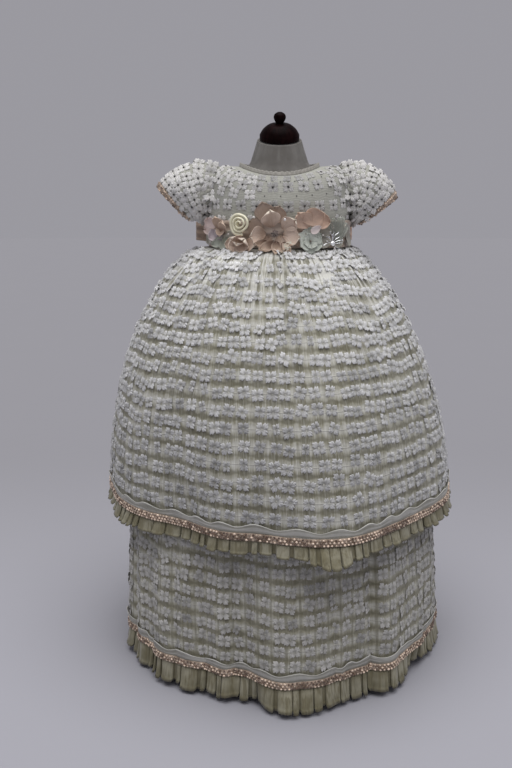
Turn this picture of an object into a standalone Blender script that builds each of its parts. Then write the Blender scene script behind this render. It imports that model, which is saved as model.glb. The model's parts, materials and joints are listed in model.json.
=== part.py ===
"""A christening gown on the limbless dress form that it is worn on. Metres, +Z up, the front faces -Y.

The gown has a short-sleeved bodice, two gathered lace skirts one inside the other, each with a ribbon,
a beaded braid and a pleated ruffle at its hem, and a satin belt with cloth flowers in front and a bow
behind. An angle round the body is 0 at the centre front and grows towards +X.
"""

from collections import namedtuple
from math import atan2, cos, exp, floor, pi, radians, sin, sqrt, tan

import bmesh
import bpy
from mathutils import Matrix, Vector

# Driving dimensions.
SEAM_GAP = 0.0003
LAY_GAP = 0.0006
LACE_WALL = 0.0015
RIBBON_WALL = 0.0010
BRAID_WALL = 0.0022
SATIN_WALL = 0.0015

# A skirt sits a little to one side: lean moves its middle towards -X, and swing its hem towards +X.
Skirt = namedtuple("Skirt", "top half_width half_depth hem hem_radius lean swing")
UPPER_SKIRT = Skirt(0.5265, 0.0878, 0.0678, 0.2140, 0.2135, 0.0075, 0.0030)
LOWER_SKIRT = Skirt(0.5240, 0.0828, 0.0628, 0.0340, 0.2015, 0.0020, 0.0065)

# The large folds of each skirt: where it is, how wide it is, and how far it stands out at the hem.
Fold = namedtuple("Fold", "angle width depth")
UPPER_FOLDS = [
    Fold(17, 14, 0.0150),
    Fold(-9, 7, -0.006),
    Fold(-36, 13, -0.015),
    Fold(-67, 9, 0.004),
    Fold(47, 9, -0.003),
    Fold(69, 9, 0.005),
    Fold(94, 14, 0.011),
    Fold(-94, 14, 0.0125),
    Fold(122, 10, -0.010),
    Fold(143, 9, 0.010),
    Fold(168, 11, -0.009),
    Fold(-166, 10, 0.011),
    Fold(-141, 11, -0.011),
    Fold(-118, 8, 0.006),
]
LOWER_FOLDS = [
    Fold(-14, 6, -0.015),
    Fold(0, 9, 0.007),
    Fold(25, 7, -0.010),
    Fold(38, 6, 0.004),
    Fold(50, 6, -0.003),
    Fold(-29, 9, -0.010),
    Fold(-48, 7, 0.002),
    Fold(-76, 9, 0.005),
    Fold(82, 9, 0.004),
    Fold(112, 7, -0.010),
    Fold(130, 8, 0.006),
    Fold(152, 7, -0.012),
    Fold(-172, 9, 0.006),
    Fold(-148, 7, -0.011),
    Fold(-122, 8, 0.007),
    Fold(-103, 6, -0.008),
]
SKIRT_COLUMNS = 56
SKIRT_ROWS = 6

# A ruffle hangs from a hem. Its pleats are uneven, and in places a group of them is flipped outwards.
Flip = namedtuple("Flip", "angle width outwards down")
UPPER_RUFFLE_REACH = 0.0155
UPPER_RUFFLE_FLIPS = [Flip(13, 5, 0.009, 0.008), Flip(-62, 8, 0.003, 0.002), Flip(128, 7, 0.006, 0.004)]
LOWER_RUFFLE_REACH = 0.0280
LOWER_RUFFLE_FLIPS = [Flip(-10, 3, -0.006, -0.004), Flip(55, 8, -0.007, -0.007), Flip(4, 8, 0.004, 0.001)]
RUFFLE_PLEATS = 28
RUFFLE_COLUMNS = 2 * SKIRT_COLUMNS
PLEAT_DEPTH = 0.0028
RUFFLE_FLARE = 0.004

# The trims above a hem, as heights over the hem edge.
BRAID_FROM, BRAID_TO = 0.0003, 0.0095
RIBBON_FROM, RIBBON_TO = 0.0103, 0.0210

# Rings of the bodice, from the waist seam to the neckline, with the height at the side, front and back.
Ring = namedtuple("Ring", "half_width side_height front_depth front_height back_depth back_height")
BODICE = [
    Ring(0.0860, 0.5270, 0.0660, 0.5270, 0.0640, 0.5270),
    Ring(0.0870, 0.5450, 0.0670, 0.5450, 0.0650, 0.5450),
    Ring(0.0880, 0.5660, 0.0680, 0.5650, 0.0650, 0.5670),
    Ring(0.0880, 0.5900, 0.0660, 0.5830, 0.0630, 0.5900),
    Ring(0.0850, 0.6120, 0.0610, 0.5980, 0.0580, 0.6070),
    Ring(0.0740, 0.6245, 0.0555, 0.6070, 0.0520, 0.6170),
    Ring(0.0500, 0.6245, 0.0500, 0.6120, 0.0460, 0.6220),
]
BODICE_ROUNDNESS = 0.88
BODICE_COLUMNS = 24
NECKLINE = len(BODICE) - 1
ARMHOLE_LOW, ARMHOLE_HIGH = 2.0, 5.0
ARMHOLE_HALF_ANGLE = 24
NECK_BINDING_HEIGHT = 0.0045
BUTTON_RADIUS = 0.0042
BUTTON_HEIGHTS = [0.5720, 0.5900, 0.6080]

# Rings of a puffed sleeve, after its armhole: outwards from the middle of the body, with the cuff last.
Puff = namedtuple("Puff", "outwards height half_tall half_deep tilt")
SLEEVE = [
    Puff(0.0955, 0.5940, 0.0355, 0.0320, 5),
    Puff(0.1085, 0.5905, 0.0360, 0.0375, 22),
    Puff(0.1220, 0.5860, 0.0320, 0.0350, 36),
    Puff(0.1325, 0.5800, 0.0262, 0.0285, 45),
]
SLEEVE_DROOP = {-1: 0.0, 1: 1.0}
SLEEVE_COLUMNS = 16
CUFF_BRAID_SHARE = 0.13

# The belt lies on the bodice, between these two heights.
BELT_LOW, BELT_HIGH = 0.5275, 0.5600
BOW_HEIGHT = 0.5440
KNOT_HALF_SIZE = Vector((0.0105, 0.0080, 0.0165))
Loop = namedtuple("Loop", "side reach half_thickness half_tall")
BOW_LOOPS = [Loop(-1, 0.1090, 0.0115, 0.0165), Loop(1, 0.0990, 0.0120, 0.0150)]
Tail = namedtuple("Tail", "side lean length_share width")
BOW_TAILS = [Tail(-1, 12, 0.56, 0.030), Tail(1, 10, 0.50, 0.030)]

# The flowers and petals on the belt. Lift is from the belt, and tilt turns the lower edge outwards.
Bloom = namedtuple("Bloom", "name angle height half_width half_height petals thickness lift tilt colour")
BLOOMS = [
    Bloom("satin_rose", -26, 0.5590, 0.0142, 0.0142, 0, 0.0110, 0.0062, 0, "cream"),
    Bloom("poppy", -3, 0.5480, 0.0210, 0.0205, 5, 0.0045, 0.0004, 8, "dusty_pink"),
    Bloom("brown_petals", -1, 0.5375, 0.0085, 0.0085, 4, 0.0035, 0.0096, 8, "brown"),
    Bloom("dusty_rose_petals", -27, 0.5350, 0.0120, 0.0120, 3, 0.0030, 0.0004, 34, "dusty_pink"),
    Bloom("organza_petal_peach", 20, 0.5660, 0.0185, 0.0105, 0, 0.0020, 0.0010, 0, "peach"),
    Bloom("satin_petal_white", 27, 0.5570, 0.0070, 0.0065, 0, 0.0020, 0.0062, 0, "white"),
    Bloom("grey_green_flower", 22, 0.5375, 0.0130, 0.0130, 6, 0.0040, 0.0004, 26, "grey_green"),
    Bloom("stamen_spray", 37, 0.5390, 0.0080, 0.0105, 5, 0.0025, 0.0085, 20, "white"),
    Bloom("tulle_tuft", 50, 0.5450, 0.0105, 0.0180, 0, 0.0022, 0.0010, 12, "grey_green"),
    Bloom("organza_petal_pink", -56, 0.5600, 0.0125, 0.0110, 0, 0.0020, 0.0012, 0, "peach"),
    Bloom("small_brown_flower", -45, 0.5610, 0.0060, 0.0060, 5, 0.0025, 0.0052, 0, "brown"),
    Bloom("lilac_petal", -47, 0.5435, 0.0090, 0.0088, 0, 0.0020, 0.0042, 10, "lilac"),
    Bloom("pale_leaf", -63, 0.5350, 0.0080, 0.0085, 0, 0.0018, 0.0010, 34, "grey_green"),
]
BLOOM_POINTS = 15

# The dress form: rings of its torso and neck from the bottom up, its wooden cap, pole and base.
TorsoRing = namedtuple("TorsoRing", "height half_width half_depth")
TORSO = [
    TorsoRing(0.3760, 0.0000, 0.0000),
    TorsoRing(0.3760, 0.0440, 0.0340),
    TorsoRing(0.3860, 0.0720, 0.0560),
    TorsoRing(0.4100, 0.0820, 0.0640),
    TorsoRing(0.4500, 0.0820, 0.0640),
    TorsoRing(0.5000, 0.0785, 0.0590),
    TorsoRing(0.5400, 0.0790, 0.0590),
    TorsoRing(0.5750, 0.0820, 0.0600),
    TorsoRing(0.5980, 0.0800, 0.0545),
    TorsoRing(0.6110, 0.0690, 0.0470),
    TorsoRing(0.6190, 0.0500, 0.0410),
    TorsoRing(0.6265, 0.0380, 0.0365),
    TorsoRing(0.6400, 0.0325, 0.0325),
    TorsoRing(0.6560, 0.0275, 0.0275),
    TorsoRing(0.6570, 0.0000, 0.0000),
]
TORSO_COLUMNS = 32
NECK_TOP = 0.6570
NECK_SLANT = 18
CAP_PROFILE = [(0.0060, 0.0200), (0.0135, 0.0180), (0.0205, 0.0125), (0.0245, 0.0060), (0.0245, 0.0006)]
KNOB_PROFILE = [(0.0030, 0.0130), (0.0065, 0.0105), (0.0075, 0.0065), (0.0060, 0.0025), (0.0045, 0.0003)]
POLE_RADIUS = 0.0110
BASE_RADIUS = 0.1200
BASE_HEIGHT = 0.0140

Finish = namedtuple("Finish", "colour roughness")
FINISHES = {
    "lace": Finish((0.80, 0.78, 0.74), 0.60),
    "ribbon": Finish((0.72, 0.72, 0.70), 0.45),
    "braid": Finish((0.62, 0.45, 0.34), 0.50),
    "ruffle": Finish((0.55, 0.53, 0.38), 0.70),
    "cream": Finish((0.85, 0.80, 0.64), 0.40),
    "white": Finish((0.85, 0.85, 0.84), 0.40),
    "dusty_pink": Finish((0.55, 0.38, 0.32), 0.60),
    "peach": Finish((0.72, 0.53, 0.42), 0.45),
    "brown": Finish((0.30, 0.18, 0.11), 0.60),
    "lilac": Finish((0.50, 0.46, 0.50), 0.50),
    "grey_green": Finish((0.55, 0.58, 0.48), 0.60),
    "pearl": Finish((0.86, 0.83, 0.78), 0.20),
    "jersey": Finish((0.58, 0.56, 0.55), 0.85),
    "dark_wood": Finish((0.035, 0.018, 0.013), 0.35),
}


def clear_scene():
    for item in list(bpy.data.objects):
        bpy.data.objects.remove(item, do_unlink=True)


def collection_for_gown():
    gown = bpy.data.collections.new("christening_gown_on_dress_form")
    bpy.context.scene.collection.children.link(gown)
    return gown


def material(name):
    """The Principled material of one finish, made once."""
    made = bpy.data.materials.get(name)
    if made is None:
        made = bpy.data.materials.new(name)
        made.use_nodes = True
        shader = made.node_tree.nodes["Principled BSDF"]
        shader.inputs["Base Color"].default_value = (*FINISHES[name].colour, 1)
        shader.inputs["Roughness"].default_value = FINISHES[name].roughness
    return made


def add_piece(name, bm, finish):
    """A named object in the gown's collection, from a finished bmesh."""
    mesh = bpy.data.meshes.new(name)
    bm.to_mesh(mesh)
    bm.free()
    mesh.materials.append(material(finish))
    mesh.shade_smooth()
    mesh.set_sharp_from_angle(angle=radians(40))
    piece = bpy.data.objects.new(name, mesh)
    bpy.data.collections["christening_gown_on_dress_form"].objects.link(piece)
    return piece


def add_wall(piece, thickness):
    """Thickness inwards from the open surface, which stays where it is."""
    wall = piece.modifiers.new("Wall", "SOLIDIFY")
    wall.thickness = thickness
    wall.offset = -1
    return piece


def mapped_grid(surface, columns, rows):
    """A grid laid on surface(across, down), both 0 to 1. Edges that meet are joined."""
    bm = bmesh.new()
    bmesh.ops.create_grid(bm, x_segments=columns, y_segments=rows, size=0.5)
    for point in bm.verts:
        point.co = surface(point.co.x + 0.5, 0.5 - point.co.y)
    bmesh.ops.remove_doubles(bm, verts=bm.verts, dist=1e-6)
    return bm


def moved_out(surface, across, down, distance):
    """The point of the surface, moved along its outward normal."""
    step = 1e-3
    right = surface(across + step, down) - surface(across - step, down)
    below = surface(across, min(down + step, 1)) - surface(across, max(down - step, 0))
    return surface(across, down) + below.cross(right).normalized() * distance


def between(rows, place):
    """The row at a fractional place in a table, on a smooth curve through its rows."""
    last = len(rows) - 1
    first = min(max(floor(place), 0), last - 1)
    share = place - first
    around = [rows[min(max(first + step, 0), last)] for step in (-1, 0, 1, 2)]
    values = []
    for before, start, end, after in zip(*around):
        leave, arrive = (end - before) / 2, (after - start) / 2
        bend = 2 * (start - end) + leave + arrive
        values.append(start + leave * share + (end - start - leave - bend) * share**2 + bend * share**3)
    return type(rows[0])(*values)


def degrees_apart(one, other):
    return (one - other + 180) % 360 - 180


def nearness(angle, middle, width):
    """1 at an angle, falling to 0 a few widths away on both sides."""
    return exp(-((degrees_apart(angle, middle) / width) ** 2))


def folds_at(folds, angle):
    """How far the folds push a hem outwards at an angle."""
    return sum(fold.depth * nearness(angle, fold.angle, fold.width) for fold in folds)


def skirt_point(skirt, folds, angle, down):
    """A point of a skirt's outer face: it swells from the waist like a bell, and its folds deepen downwards."""
    turn = radians(angle)
    swell = sin(pi / 2 * down)
    push = folds_at(folds, angle) * down**2
    wide = skirt.half_width + (skirt.hem_radius - skirt.half_width) * swell + push
    deep = skirt.half_depth + (skirt.hem_radius - skirt.half_depth) * swell + push
    height = skirt.top - (skirt.top - skirt.hem) * down**1.5
    sideways = skirt.swing * down**2 - skirt.lean * sin(pi * sqrt(down))
    return Vector((wide * sin(turn) + sideways, -deep * cos(turn), height))


def skirt_down(skirt, height):
    """How far down a skirt a height is, from 0 at the waist to 1 at the hem."""
    return max((skirt.top - height) / (skirt.top - skirt.hem), 0) ** (2 / 3)


def build_skirt(name, skirt, folds):
    """A front and a back panel, which meet at the side seams."""
    edge = 0.6 * SEAM_GAP / skirt.half_width * 180 / pi
    for panel, middle in (("front", 0), ("back", 180)):

        def surface(across, down, middle=middle):
            angle = middle + (across - 0.5) * (180 - 2 * edge)
            return skirt_point(skirt, folds, angle, down)

        bm = mapped_grid(surface, SKIRT_COLUMNS // 2, SKIRT_ROWS)
        add_wall(add_piece(f"{name}_{panel}", bm, "lace"), LACE_WALL)


def build_hem_band(name, skirt, folds, low, high, wall, finish):
    """A trim sewn round a skirt, between two heights over its hem edge."""
    top, bottom = (skirt_down(skirt, skirt.hem + height) for height in (high, low))

    def skirt_surface(across, down):
        return skirt_point(skirt, folds, across * 360 - 180, down)

    def surface(across, down):
        return moved_out(skirt_surface, across, top + (bottom - top) * down, LAY_GAP + wall)

    add_wall(add_piece(name, mapped_grid(surface, SKIRT_COLUMNS, 1), finish), wall)


def pleat_wave(angle):
    """A box pleat's place between its back, -1, and its front, 1. The pleats' widths vary slowly."""
    turn = radians(angle)
    wave = sin(RUFFLE_PLEATS * turn + 1.1 * sin(3 * turn + 1) + 0.7 * sin(8 * turn))
    return max(-1, min(1, 1.8 * wave))


def build_ruffle(name, skirt, folds, reach, flips):
    """A pleated strip that hangs from a skirt's hem edge."""

    def surface(across, down):
        angle = across * 360 - 180
        turn = radians(angle)
        point = skirt_point(skirt, folds, angle, 1)
        near = [nearness(angle, flip.angle, flip.width) for flip in flips]
        out = sum(flip.outwards * share for flip, share in zip(flips, near))
        drop = sum(flip.down * share for flip, share in zip(flips, near))
        push = (RUFFLE_FLARE + out) * down + PLEAT_DEPTH * pleat_wave(angle) * (0.25 + 0.75 * down)
        point += Vector((sin(turn), -cos(turn), 0)) * (push - PLEAT_DEPTH * 0.25)
        point.z -= SEAM_GAP + (reach + drop) * down
        return point

    add_wall(add_piece(name, mapped_grid(surface, RUFFLE_COLUMNS, 1), "ruffle"), RIBBON_WALL)


def power(value, exponent):
    return abs(value) ** exponent * (1 if value > 0 else -1)


def bodice_point(angle, place):
    """A point of the bodice's outer face. Place runs from 0 at the waist seam to the neckline's row."""
    ring = between(BODICE, place)
    across, forward = sin(radians(angle)), cos(radians(angle))
    depth = ring.front_depth if forward > 0 else ring.back_depth
    middle_height = ring.front_height if forward > 0 else ring.back_height
    return Vector(
        (
            ring.half_width * power(across, BODICE_ROUNDNESS),
            -depth * power(forward, BODICE_ROUNDNESS),
            ring.side_height + (middle_height - ring.side_height) * forward**2,
        )
    )


def bodice_place(angle, height):
    """The place on the bodice where it has this height, found by halving."""
    low, high = 0, NECKLINE
    for _ in range(24):
        middle = (low + high) / 2
        if bodice_point(angle, middle).z < height:
            low = middle
        else:
            high = middle
    return low


def armhole_half_angle(place):
    middle, half = (ARMHOLE_LOW + ARMHOLE_HIGH) / 2, (ARMHOLE_HIGH - ARMHOLE_LOW) / 2
    return ARMHOLE_HALF_ANGLE * sqrt(max(0, 1 - ((place - middle) / half) ** 2))


def bodice_rows():
    """Places of the bodice's grid rows: even below and above the armhole, and crowded at its two ends."""
    middle, half = (ARMHOLE_LOW + ARMHOLE_HIGH) / 2, (ARMHOLE_HIGH - ARMHOLE_LOW) / 2
    below = [ARMHOLE_LOW * share for share in (0, 0.5)]
    beside = [middle - half * cos(pi * step / 6) for step in range(7)]
    return below + beside + [(ARMHOLE_HIGH + NECKLINE) / 2, NECKLINE]


def build_bodice():
    """Front, and two backs that meet at the centre. Their side edges curve round the armholes."""
    places = bodice_rows()
    rows = len(places) - 1
    gap = 0.75 * SEAM_GAP / 0.05 * 180 / pi
    for name, start, end, columns in (
        ("bodice_front", -90, 90, BODICE_COLUMNS // 2),
        ("bodice_back_right", 90, 180, BODICE_COLUMNS // 4),
        ("bodice_back_left", 180, 270, BODICE_COLUMNS // 4),
    ):

        def surface(across, down, start=start, end=end):
            place = places[round((1 - down) * rows)]
            hole = armhole_half_angle(place)
            first = start + gap + (hole if start % 180 else 0)
            last = end - gap - (hole if end % 180 else 0)
            return bodice_point(first + (last - first) * across, place)

        add_wall(add_piece(name, mapped_grid(surface, columns, rows), "lace"), LACE_WALL)


def build_neck_binding():
    """A narrow standing edge round the neckline, open at the centre back."""
    gap = 2 * SEAM_GAP / 0.046 * 180 / pi

    def surface(across, down):
        point = bodice_point(-180 + gap + (360 - 2 * gap) * across, NECKLINE)
        inwards = 1 - 0.03 * (1 - down)
        return Vector(
            (point.x * inwards, point.y * inwards, point.z + SEAM_GAP + NECK_BINDING_HEIGHT * (1 - down))
        )

    add_wall(add_piece("neck_binding", mapped_grid(surface, BODICE_COLUMNS, 1), "ribbon"), RIBBON_WALL)


def build_buttons():
    """Pearl buttons down the centre back, clear of the cloth by a thread's thickness."""
    for number, height in enumerate(BUTTON_HEIGHTS, 1):
        place = min(range(20, 120), key=lambda step: abs(bodice_point(180, step / 20).z - height)) / 20
        bm = bmesh.new()
        bmesh.ops.create_uvsphere(bm, u_segments=10, v_segments=6, radius=BUTTON_RADIUS)
        bmesh.ops.scale(bm, vec=(1, 0.6, 1), verts=bm.verts)
        out = 0.6 * BUTTON_RADIUS + 3 * SEAM_GAP
        at = bodice_point(180, place) + Vector((0, out, out / 3))
        bmesh.ops.translate(bm, vec=at, verts=bm.verts)
        add_piece(f"back_button_{number}", bm, "pearl")


def sleeve_ring_point(side, number, turn):
    """A point of one of the sleeve's rings: ring 0 is the armhole, and turn starts at its top."""
    if number == 0:
        middle, half = (ARMHOLE_LOW + ARMHOLE_HIGH) / 2, (ARMHOLE_HIGH - ARMHOLE_LOW) / 2
        place = middle + half * cos(turn)
        point = bodice_point(90 - ARMHOLE_HALF_ANGLE * sin(turn), place)
        return Vector((side * (point.x + 1.5 * SEAM_GAP), point.y, point.z))
    ring = SLEEVE[number - 1]
    droop = SLEEVE_DROOP[side] * (number / len(SLEEVE)) ** 2
    tilt = radians(ring.tilt + 10 * droop)
    outwards = ring.outwards - 0.0085 * droop + ring.half_tall * cos(turn) * sin(tilt)
    height = ring.height - 0.0085 * droop + ring.half_tall * cos(turn) * cos(tilt)
    return Vector((side * outwards, -ring.half_deep * sin(turn), height))


def sleeve_point(side, turn, along):
    """A point of the sleeve's outer face. Along runs from 0 at the armhole to 1 at the cuff."""
    rings = [tuple(sleeve_ring_point(side, number, turn)) for number in range(len(SLEEVE) + 1)]
    Point = namedtuple("Point", "x y z")
    return Vector(between([Point(*ring) for ring in rings], along * len(SLEEVE)))


def build_sleeve(side, word):
    """A puffed sleeve and the braid on its cuff."""

    def surface(across, down):
        return sleeve_point(side, -side * 2 * pi * across, down)

    def braid(across, down):
        along = 1 - CUFF_BRAID_SHARE * (1 - down)
        return moved_out(surface, across, along, SEAM_GAP + BRAID_WALL)

    add_wall(add_piece(f"sleeve_{word}", mapped_grid(surface, SLEEVE_COLUMNS, 5), "lace"), LACE_WALL)
    add_wall(add_piece(f"sleeve_braid_{word}", mapped_grid(braid, SLEEVE_COLUMNS, 1), "braid"), BRAID_WALL)


def belt_point(angle, height, lift):
    """A point over the belt's line on the bodice, and the level outward direction there."""
    step = 0.5
    place = bodice_place(angle, min(max(height, BELT_LOW), BELT_HIGH))
    along = bodice_point(angle + step, place) - bodice_point(angle - step, place)
    outwards = along.cross(Vector((0, 0, 1))).normalized()
    point = bodice_point(angle, place) + outwards * lift
    return Vector((point.x, point.y, height)), outwards


def build_belt():
    """The satin band round the waist."""

    def surface(across, down):
        height = BELT_HIGH + (BELT_LOW - BELT_HIGH) * down
        return belt_point(across * 360 - 180, height, LAY_GAP + SATIN_WALL)[0]

    bm = mapped_grid(surface, BODICE_COLUMNS, 2)
    add_wall(add_piece("belt_band", bm, "peach"), SATIN_WALL)


def build_bow():
    """The knot, two loops and two tails that close the belt at the centre back."""
    behind = BODICE[1].back_depth + SATIN_WALL + 2 * SEAM_GAP
    bm = bmesh.new()
    bmesh.ops.create_uvsphere(bm, u_segments=12, v_segments=6, radius=1)
    bmesh.ops.scale(bm, vec=KNOT_HALF_SIZE, verts=bm.verts)
    at = Vector((0, behind + KNOT_HALF_SIZE.y + SEAM_GAP, BOW_HEIGHT))
    bmesh.ops.translate(bm, vec=at, verts=bm.verts)
    add_piece("bow_knot", bm, "peach")
    for loop in BOW_LOOPS:
        word = "left" if loop.side < 0 else "right"
        start = KNOT_HALF_SIZE.x + 2 * SEAM_GAP

        def surface(across, down, loop=loop, start=start):
            turn = 2 * pi * across
            share = (1 - cos(turn)) / 2
            outwards = start + (loop.reach - start) * share
            thick = loop.half_thickness * sin(turn) * (0.35 + 0.65 * share)
            tall = loop.half_tall * (0.62 + 0.38 * sin(pi / 2 * min(1, 2 * share)))
            return Vector(
                (
                    loop.side * outwards,
                    at.y + 0.002 - 0.016 * share**2 - loop.side * thick,
                    BOW_HEIGHT + tall * (1 - 2 * down),
                )
            )

        add_wall(add_piece(f"bow_loop_{word}", mapped_grid(surface, 20, 1), "peach"), RIBBON_WALL)
    for tail in BOW_TAILS:
        word = "left" if tail.side < 0 else "right"

        def skirt_surface(across, down):
            return skirt_point(UPPER_SKIRT, UPPER_FOLDS, across * 360, down)

        def tail_surface(across, down, tail=tail):
            sideways = tail.side * (7.5 + (tail.lean - 7.5) * down)
            on_skirt = 0.06 + (tail.length_share - 0.06) * down
            radius = 0.07 + 0.15 * on_skirt
            width = tail.width / radius * 180 / pi * (0.55 + 0.45 * min(1, 2 * down))
            angle = 180 - sideways + (across - 0.5) * width
            return moved_out(skirt_surface, angle / 360, on_skirt, 0.0030 + RIBBON_WALL)

        bm = mapped_grid(tail_surface, 3, 5)
        add_wall(add_piece(f"bow_tail_{word}", bm, "peach"), RIBBON_WALL)


def build_blooms():
    """Each flower or petal of the belt as a thin cone frustum with its petals' outline."""
    for bloom in BLOOMS:
        lean = radians(bloom.tilt)
        at, outwards = belt_point(
            bloom.angle,
            bloom.height,
            LAY_GAP + SATIN_WALL + bloom.lift + bloom.thickness / 2 + bloom.half_height * sin(lean),
        )
        bm = bmesh.new()
        bmesh.ops.create_cone(
            bm, cap_ends=True, segments=BLOOM_POINTS, radius1=1, radius2=0.72, depth=bloom.thickness
        )
        for point in bm.verts:
            notch = 1 - 0.07 * (1 - cos(bloom.petals * atan2(point.co.y, point.co.x)))
            point.co.x *= bloom.half_width * notch
            point.co.y *= bloom.half_height * notch
        facing = outwards.to_track_quat("Z", "Y").to_matrix().to_4x4()
        tilt = Matrix.Rotation(-lean, 4, "X")
        bmesh.ops.transform(bm, matrix=Matrix.Translation(at) @ facing @ tilt, verts=bm.verts)
        add_piece(bloom.name, bm, bloom.colour)


def neck_slant(point):
    """Lowers the front of what is near the neck's top, so that its cap faces forwards."""
    share = min(max((point.z - 0.628) / (NECK_TOP - 0.628), 0), 1)
    return Vector((point.x, point.y, point.z + point.y * tan(radians(NECK_SLANT)) * share))


def build_torso():
    """The padded torso and neck of the form, one closed body."""

    def surface(across, down):
        ring = TORSO[round((1 - down) * (len(TORSO) - 1))]
        turn = 2 * pi * across
        point = Vector((ring.half_width * sin(turn), -ring.half_depth * cos(turn), ring.height))
        return neck_slant(point)

    add_piece("form_torso", mapped_grid(surface, TORSO_COLUMNS, len(TORSO) - 1), "jersey")


def build_turned(name, profile, base, slant, finish):
    """A turned piece: its profile (radius, height) runs from its top down, closed onto its axis."""
    bm = bmesh.new()
    outline = [(0, profile[0][1]), *profile, (0, profile[-1][1])]
    points = [bm.verts.new((radius, 0, height)) for radius, height in outline]
    for upper, lower in zip(points, points[1:]):
        bm.edges.new((upper, lower))
    piece = add_piece(name, bm, finish)
    piece.location = base
    piece.rotation_euler = (slant, 0, 0)
    screw = piece.modifiers.new("Turned", "SCREW")
    screw.steps = screw.render_steps = 24
    screw.use_merge_vertices = True
    screw.merge_threshold = 1e-5
    screw.use_smooth_shade = True
    return piece


def build_form():
    """The dress form that carries the gown."""
    build_torso()
    slant = radians(NECK_SLANT)
    up = Vector((0, -sin(slant), cos(slant)))
    neck_top = Vector((0, 0, NECK_TOP))
    cap_top = neck_top + up * CAP_PROFILE[0][1]
    build_turned("neck_cap", CAP_PROFILE, neck_top, slant, "dark_wood")
    build_turned("cap_knob", KNOB_PROFILE, cap_top, slant, "dark_wood")
    pole_top = TORSO[0].height - SEAM_GAP
    pole_bottom = BASE_HEIGHT + SEAM_GAP
    pole = [(POLE_RADIUS, pole_top), (POLE_RADIUS, pole_bottom)]
    build_turned("pole", pole, Vector(), 0, "dark_wood")
    base = [(BASE_RADIUS - 0.006, BASE_HEIGHT), (BASE_RADIUS, BASE_HEIGHT - 0.005), (BASE_RADIUS, 0)]
    build_turned("base", base, Vector(), 0, "dark_wood")


def build_gown():
    build_bodice()
    build_neck_binding()
    build_buttons()
    build_sleeve(-1, "left")
    build_sleeve(1, "right")
    build_belt()
    build_bow()
    build_blooms()
    for name, skirt, folds, reach, flips in (
        ("upper", UPPER_SKIRT, UPPER_FOLDS, UPPER_RUFFLE_REACH, UPPER_RUFFLE_FLIPS),
        ("lower", LOWER_SKIRT, LOWER_FOLDS, LOWER_RUFFLE_REACH, LOWER_RUFFLE_FLIPS),
    ):
        build_skirt(f"{name}_skirt", skirt, folds)
        build_ruffle(f"{name}_ruffle", skirt, folds, reach, flips)
        build_hem_band(f"{name}_braid", skirt, folds, BRAID_FROM, BRAID_TO, BRAID_WALL, "braid")
        build_hem_band(f"{name}_ribbon", skirt, folds, RIBBON_FROM, RIBBON_TO, RIBBON_WALL, "ribbon")


clear_scene()
collection_for_gown()
build_form()
build_gown()
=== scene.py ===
"""A lace christening gown on its dress form: the cloth, embroidery, beads and flowers over the plain solids.

Metres, +Z up, and the front faces -Y. An angle round the body is 0 at the centre front and grows towards
+X. A surface is a function of two shares, across and down, both 0 to 1.
"""

import json
import random
from collections import namedtuple
from math import cos, exp, floor, hypot, pi, radians, sin, sqrt, tan

import bmesh
import bpy
import numpy as np
from mathutils import Matrix, Vector, noise

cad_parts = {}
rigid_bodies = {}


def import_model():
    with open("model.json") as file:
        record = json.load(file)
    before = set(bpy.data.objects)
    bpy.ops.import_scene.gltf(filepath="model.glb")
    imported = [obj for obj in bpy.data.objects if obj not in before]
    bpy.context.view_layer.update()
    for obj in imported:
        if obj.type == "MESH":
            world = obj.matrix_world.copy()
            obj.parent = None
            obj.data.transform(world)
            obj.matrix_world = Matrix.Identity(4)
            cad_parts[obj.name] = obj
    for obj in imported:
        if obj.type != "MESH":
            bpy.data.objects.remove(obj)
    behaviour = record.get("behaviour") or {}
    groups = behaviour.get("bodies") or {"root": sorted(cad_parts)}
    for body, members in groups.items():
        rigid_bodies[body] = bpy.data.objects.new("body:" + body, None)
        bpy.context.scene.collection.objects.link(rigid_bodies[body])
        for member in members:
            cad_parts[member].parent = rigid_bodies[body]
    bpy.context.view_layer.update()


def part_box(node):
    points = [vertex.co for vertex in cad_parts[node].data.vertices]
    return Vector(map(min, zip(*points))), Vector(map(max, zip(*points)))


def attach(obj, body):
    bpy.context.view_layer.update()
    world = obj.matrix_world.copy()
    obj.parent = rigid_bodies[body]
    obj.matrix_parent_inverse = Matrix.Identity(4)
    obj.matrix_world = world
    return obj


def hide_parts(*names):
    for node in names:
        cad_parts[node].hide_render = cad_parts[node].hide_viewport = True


for startup_item in list(bpy.data.objects):
    bpy.data.objects.remove(startup_item, do_unlink=True)
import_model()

# The shapes that the solids were made to, in metres and degrees.
SEAM_GAP = 0.0003
LAY_GAP = 0.0006
LACE_WALL = 0.0015
RIBBON_WALL = 0.0010
SATIN_WALL = 0.0015

# How thick the finished cloth is where it is thinner than the solid that it stands for.
VOILE = 0.0004
PETAL_CLOTH = 0.0004
ORGANZA = 0.0005
BOUND_ORGANZA = 0.0006
KNOTTED_SATIN = 0.0008
BAND_SATIN = 0.0010
BRAID_WEB = 0.0012

Skirt = namedtuple("Skirt", "top half_width half_depth hem hem_radius lean swing")
UPPER_SKIRT = Skirt(0.5265, 0.0878, 0.0678, 0.2140, 0.2135, 0.0075, 0.0030)
LOWER_SKIRT = Skirt(0.5240, 0.0828, 0.0628, 0.0340, 0.2015, 0.0020, 0.0065)

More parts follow.
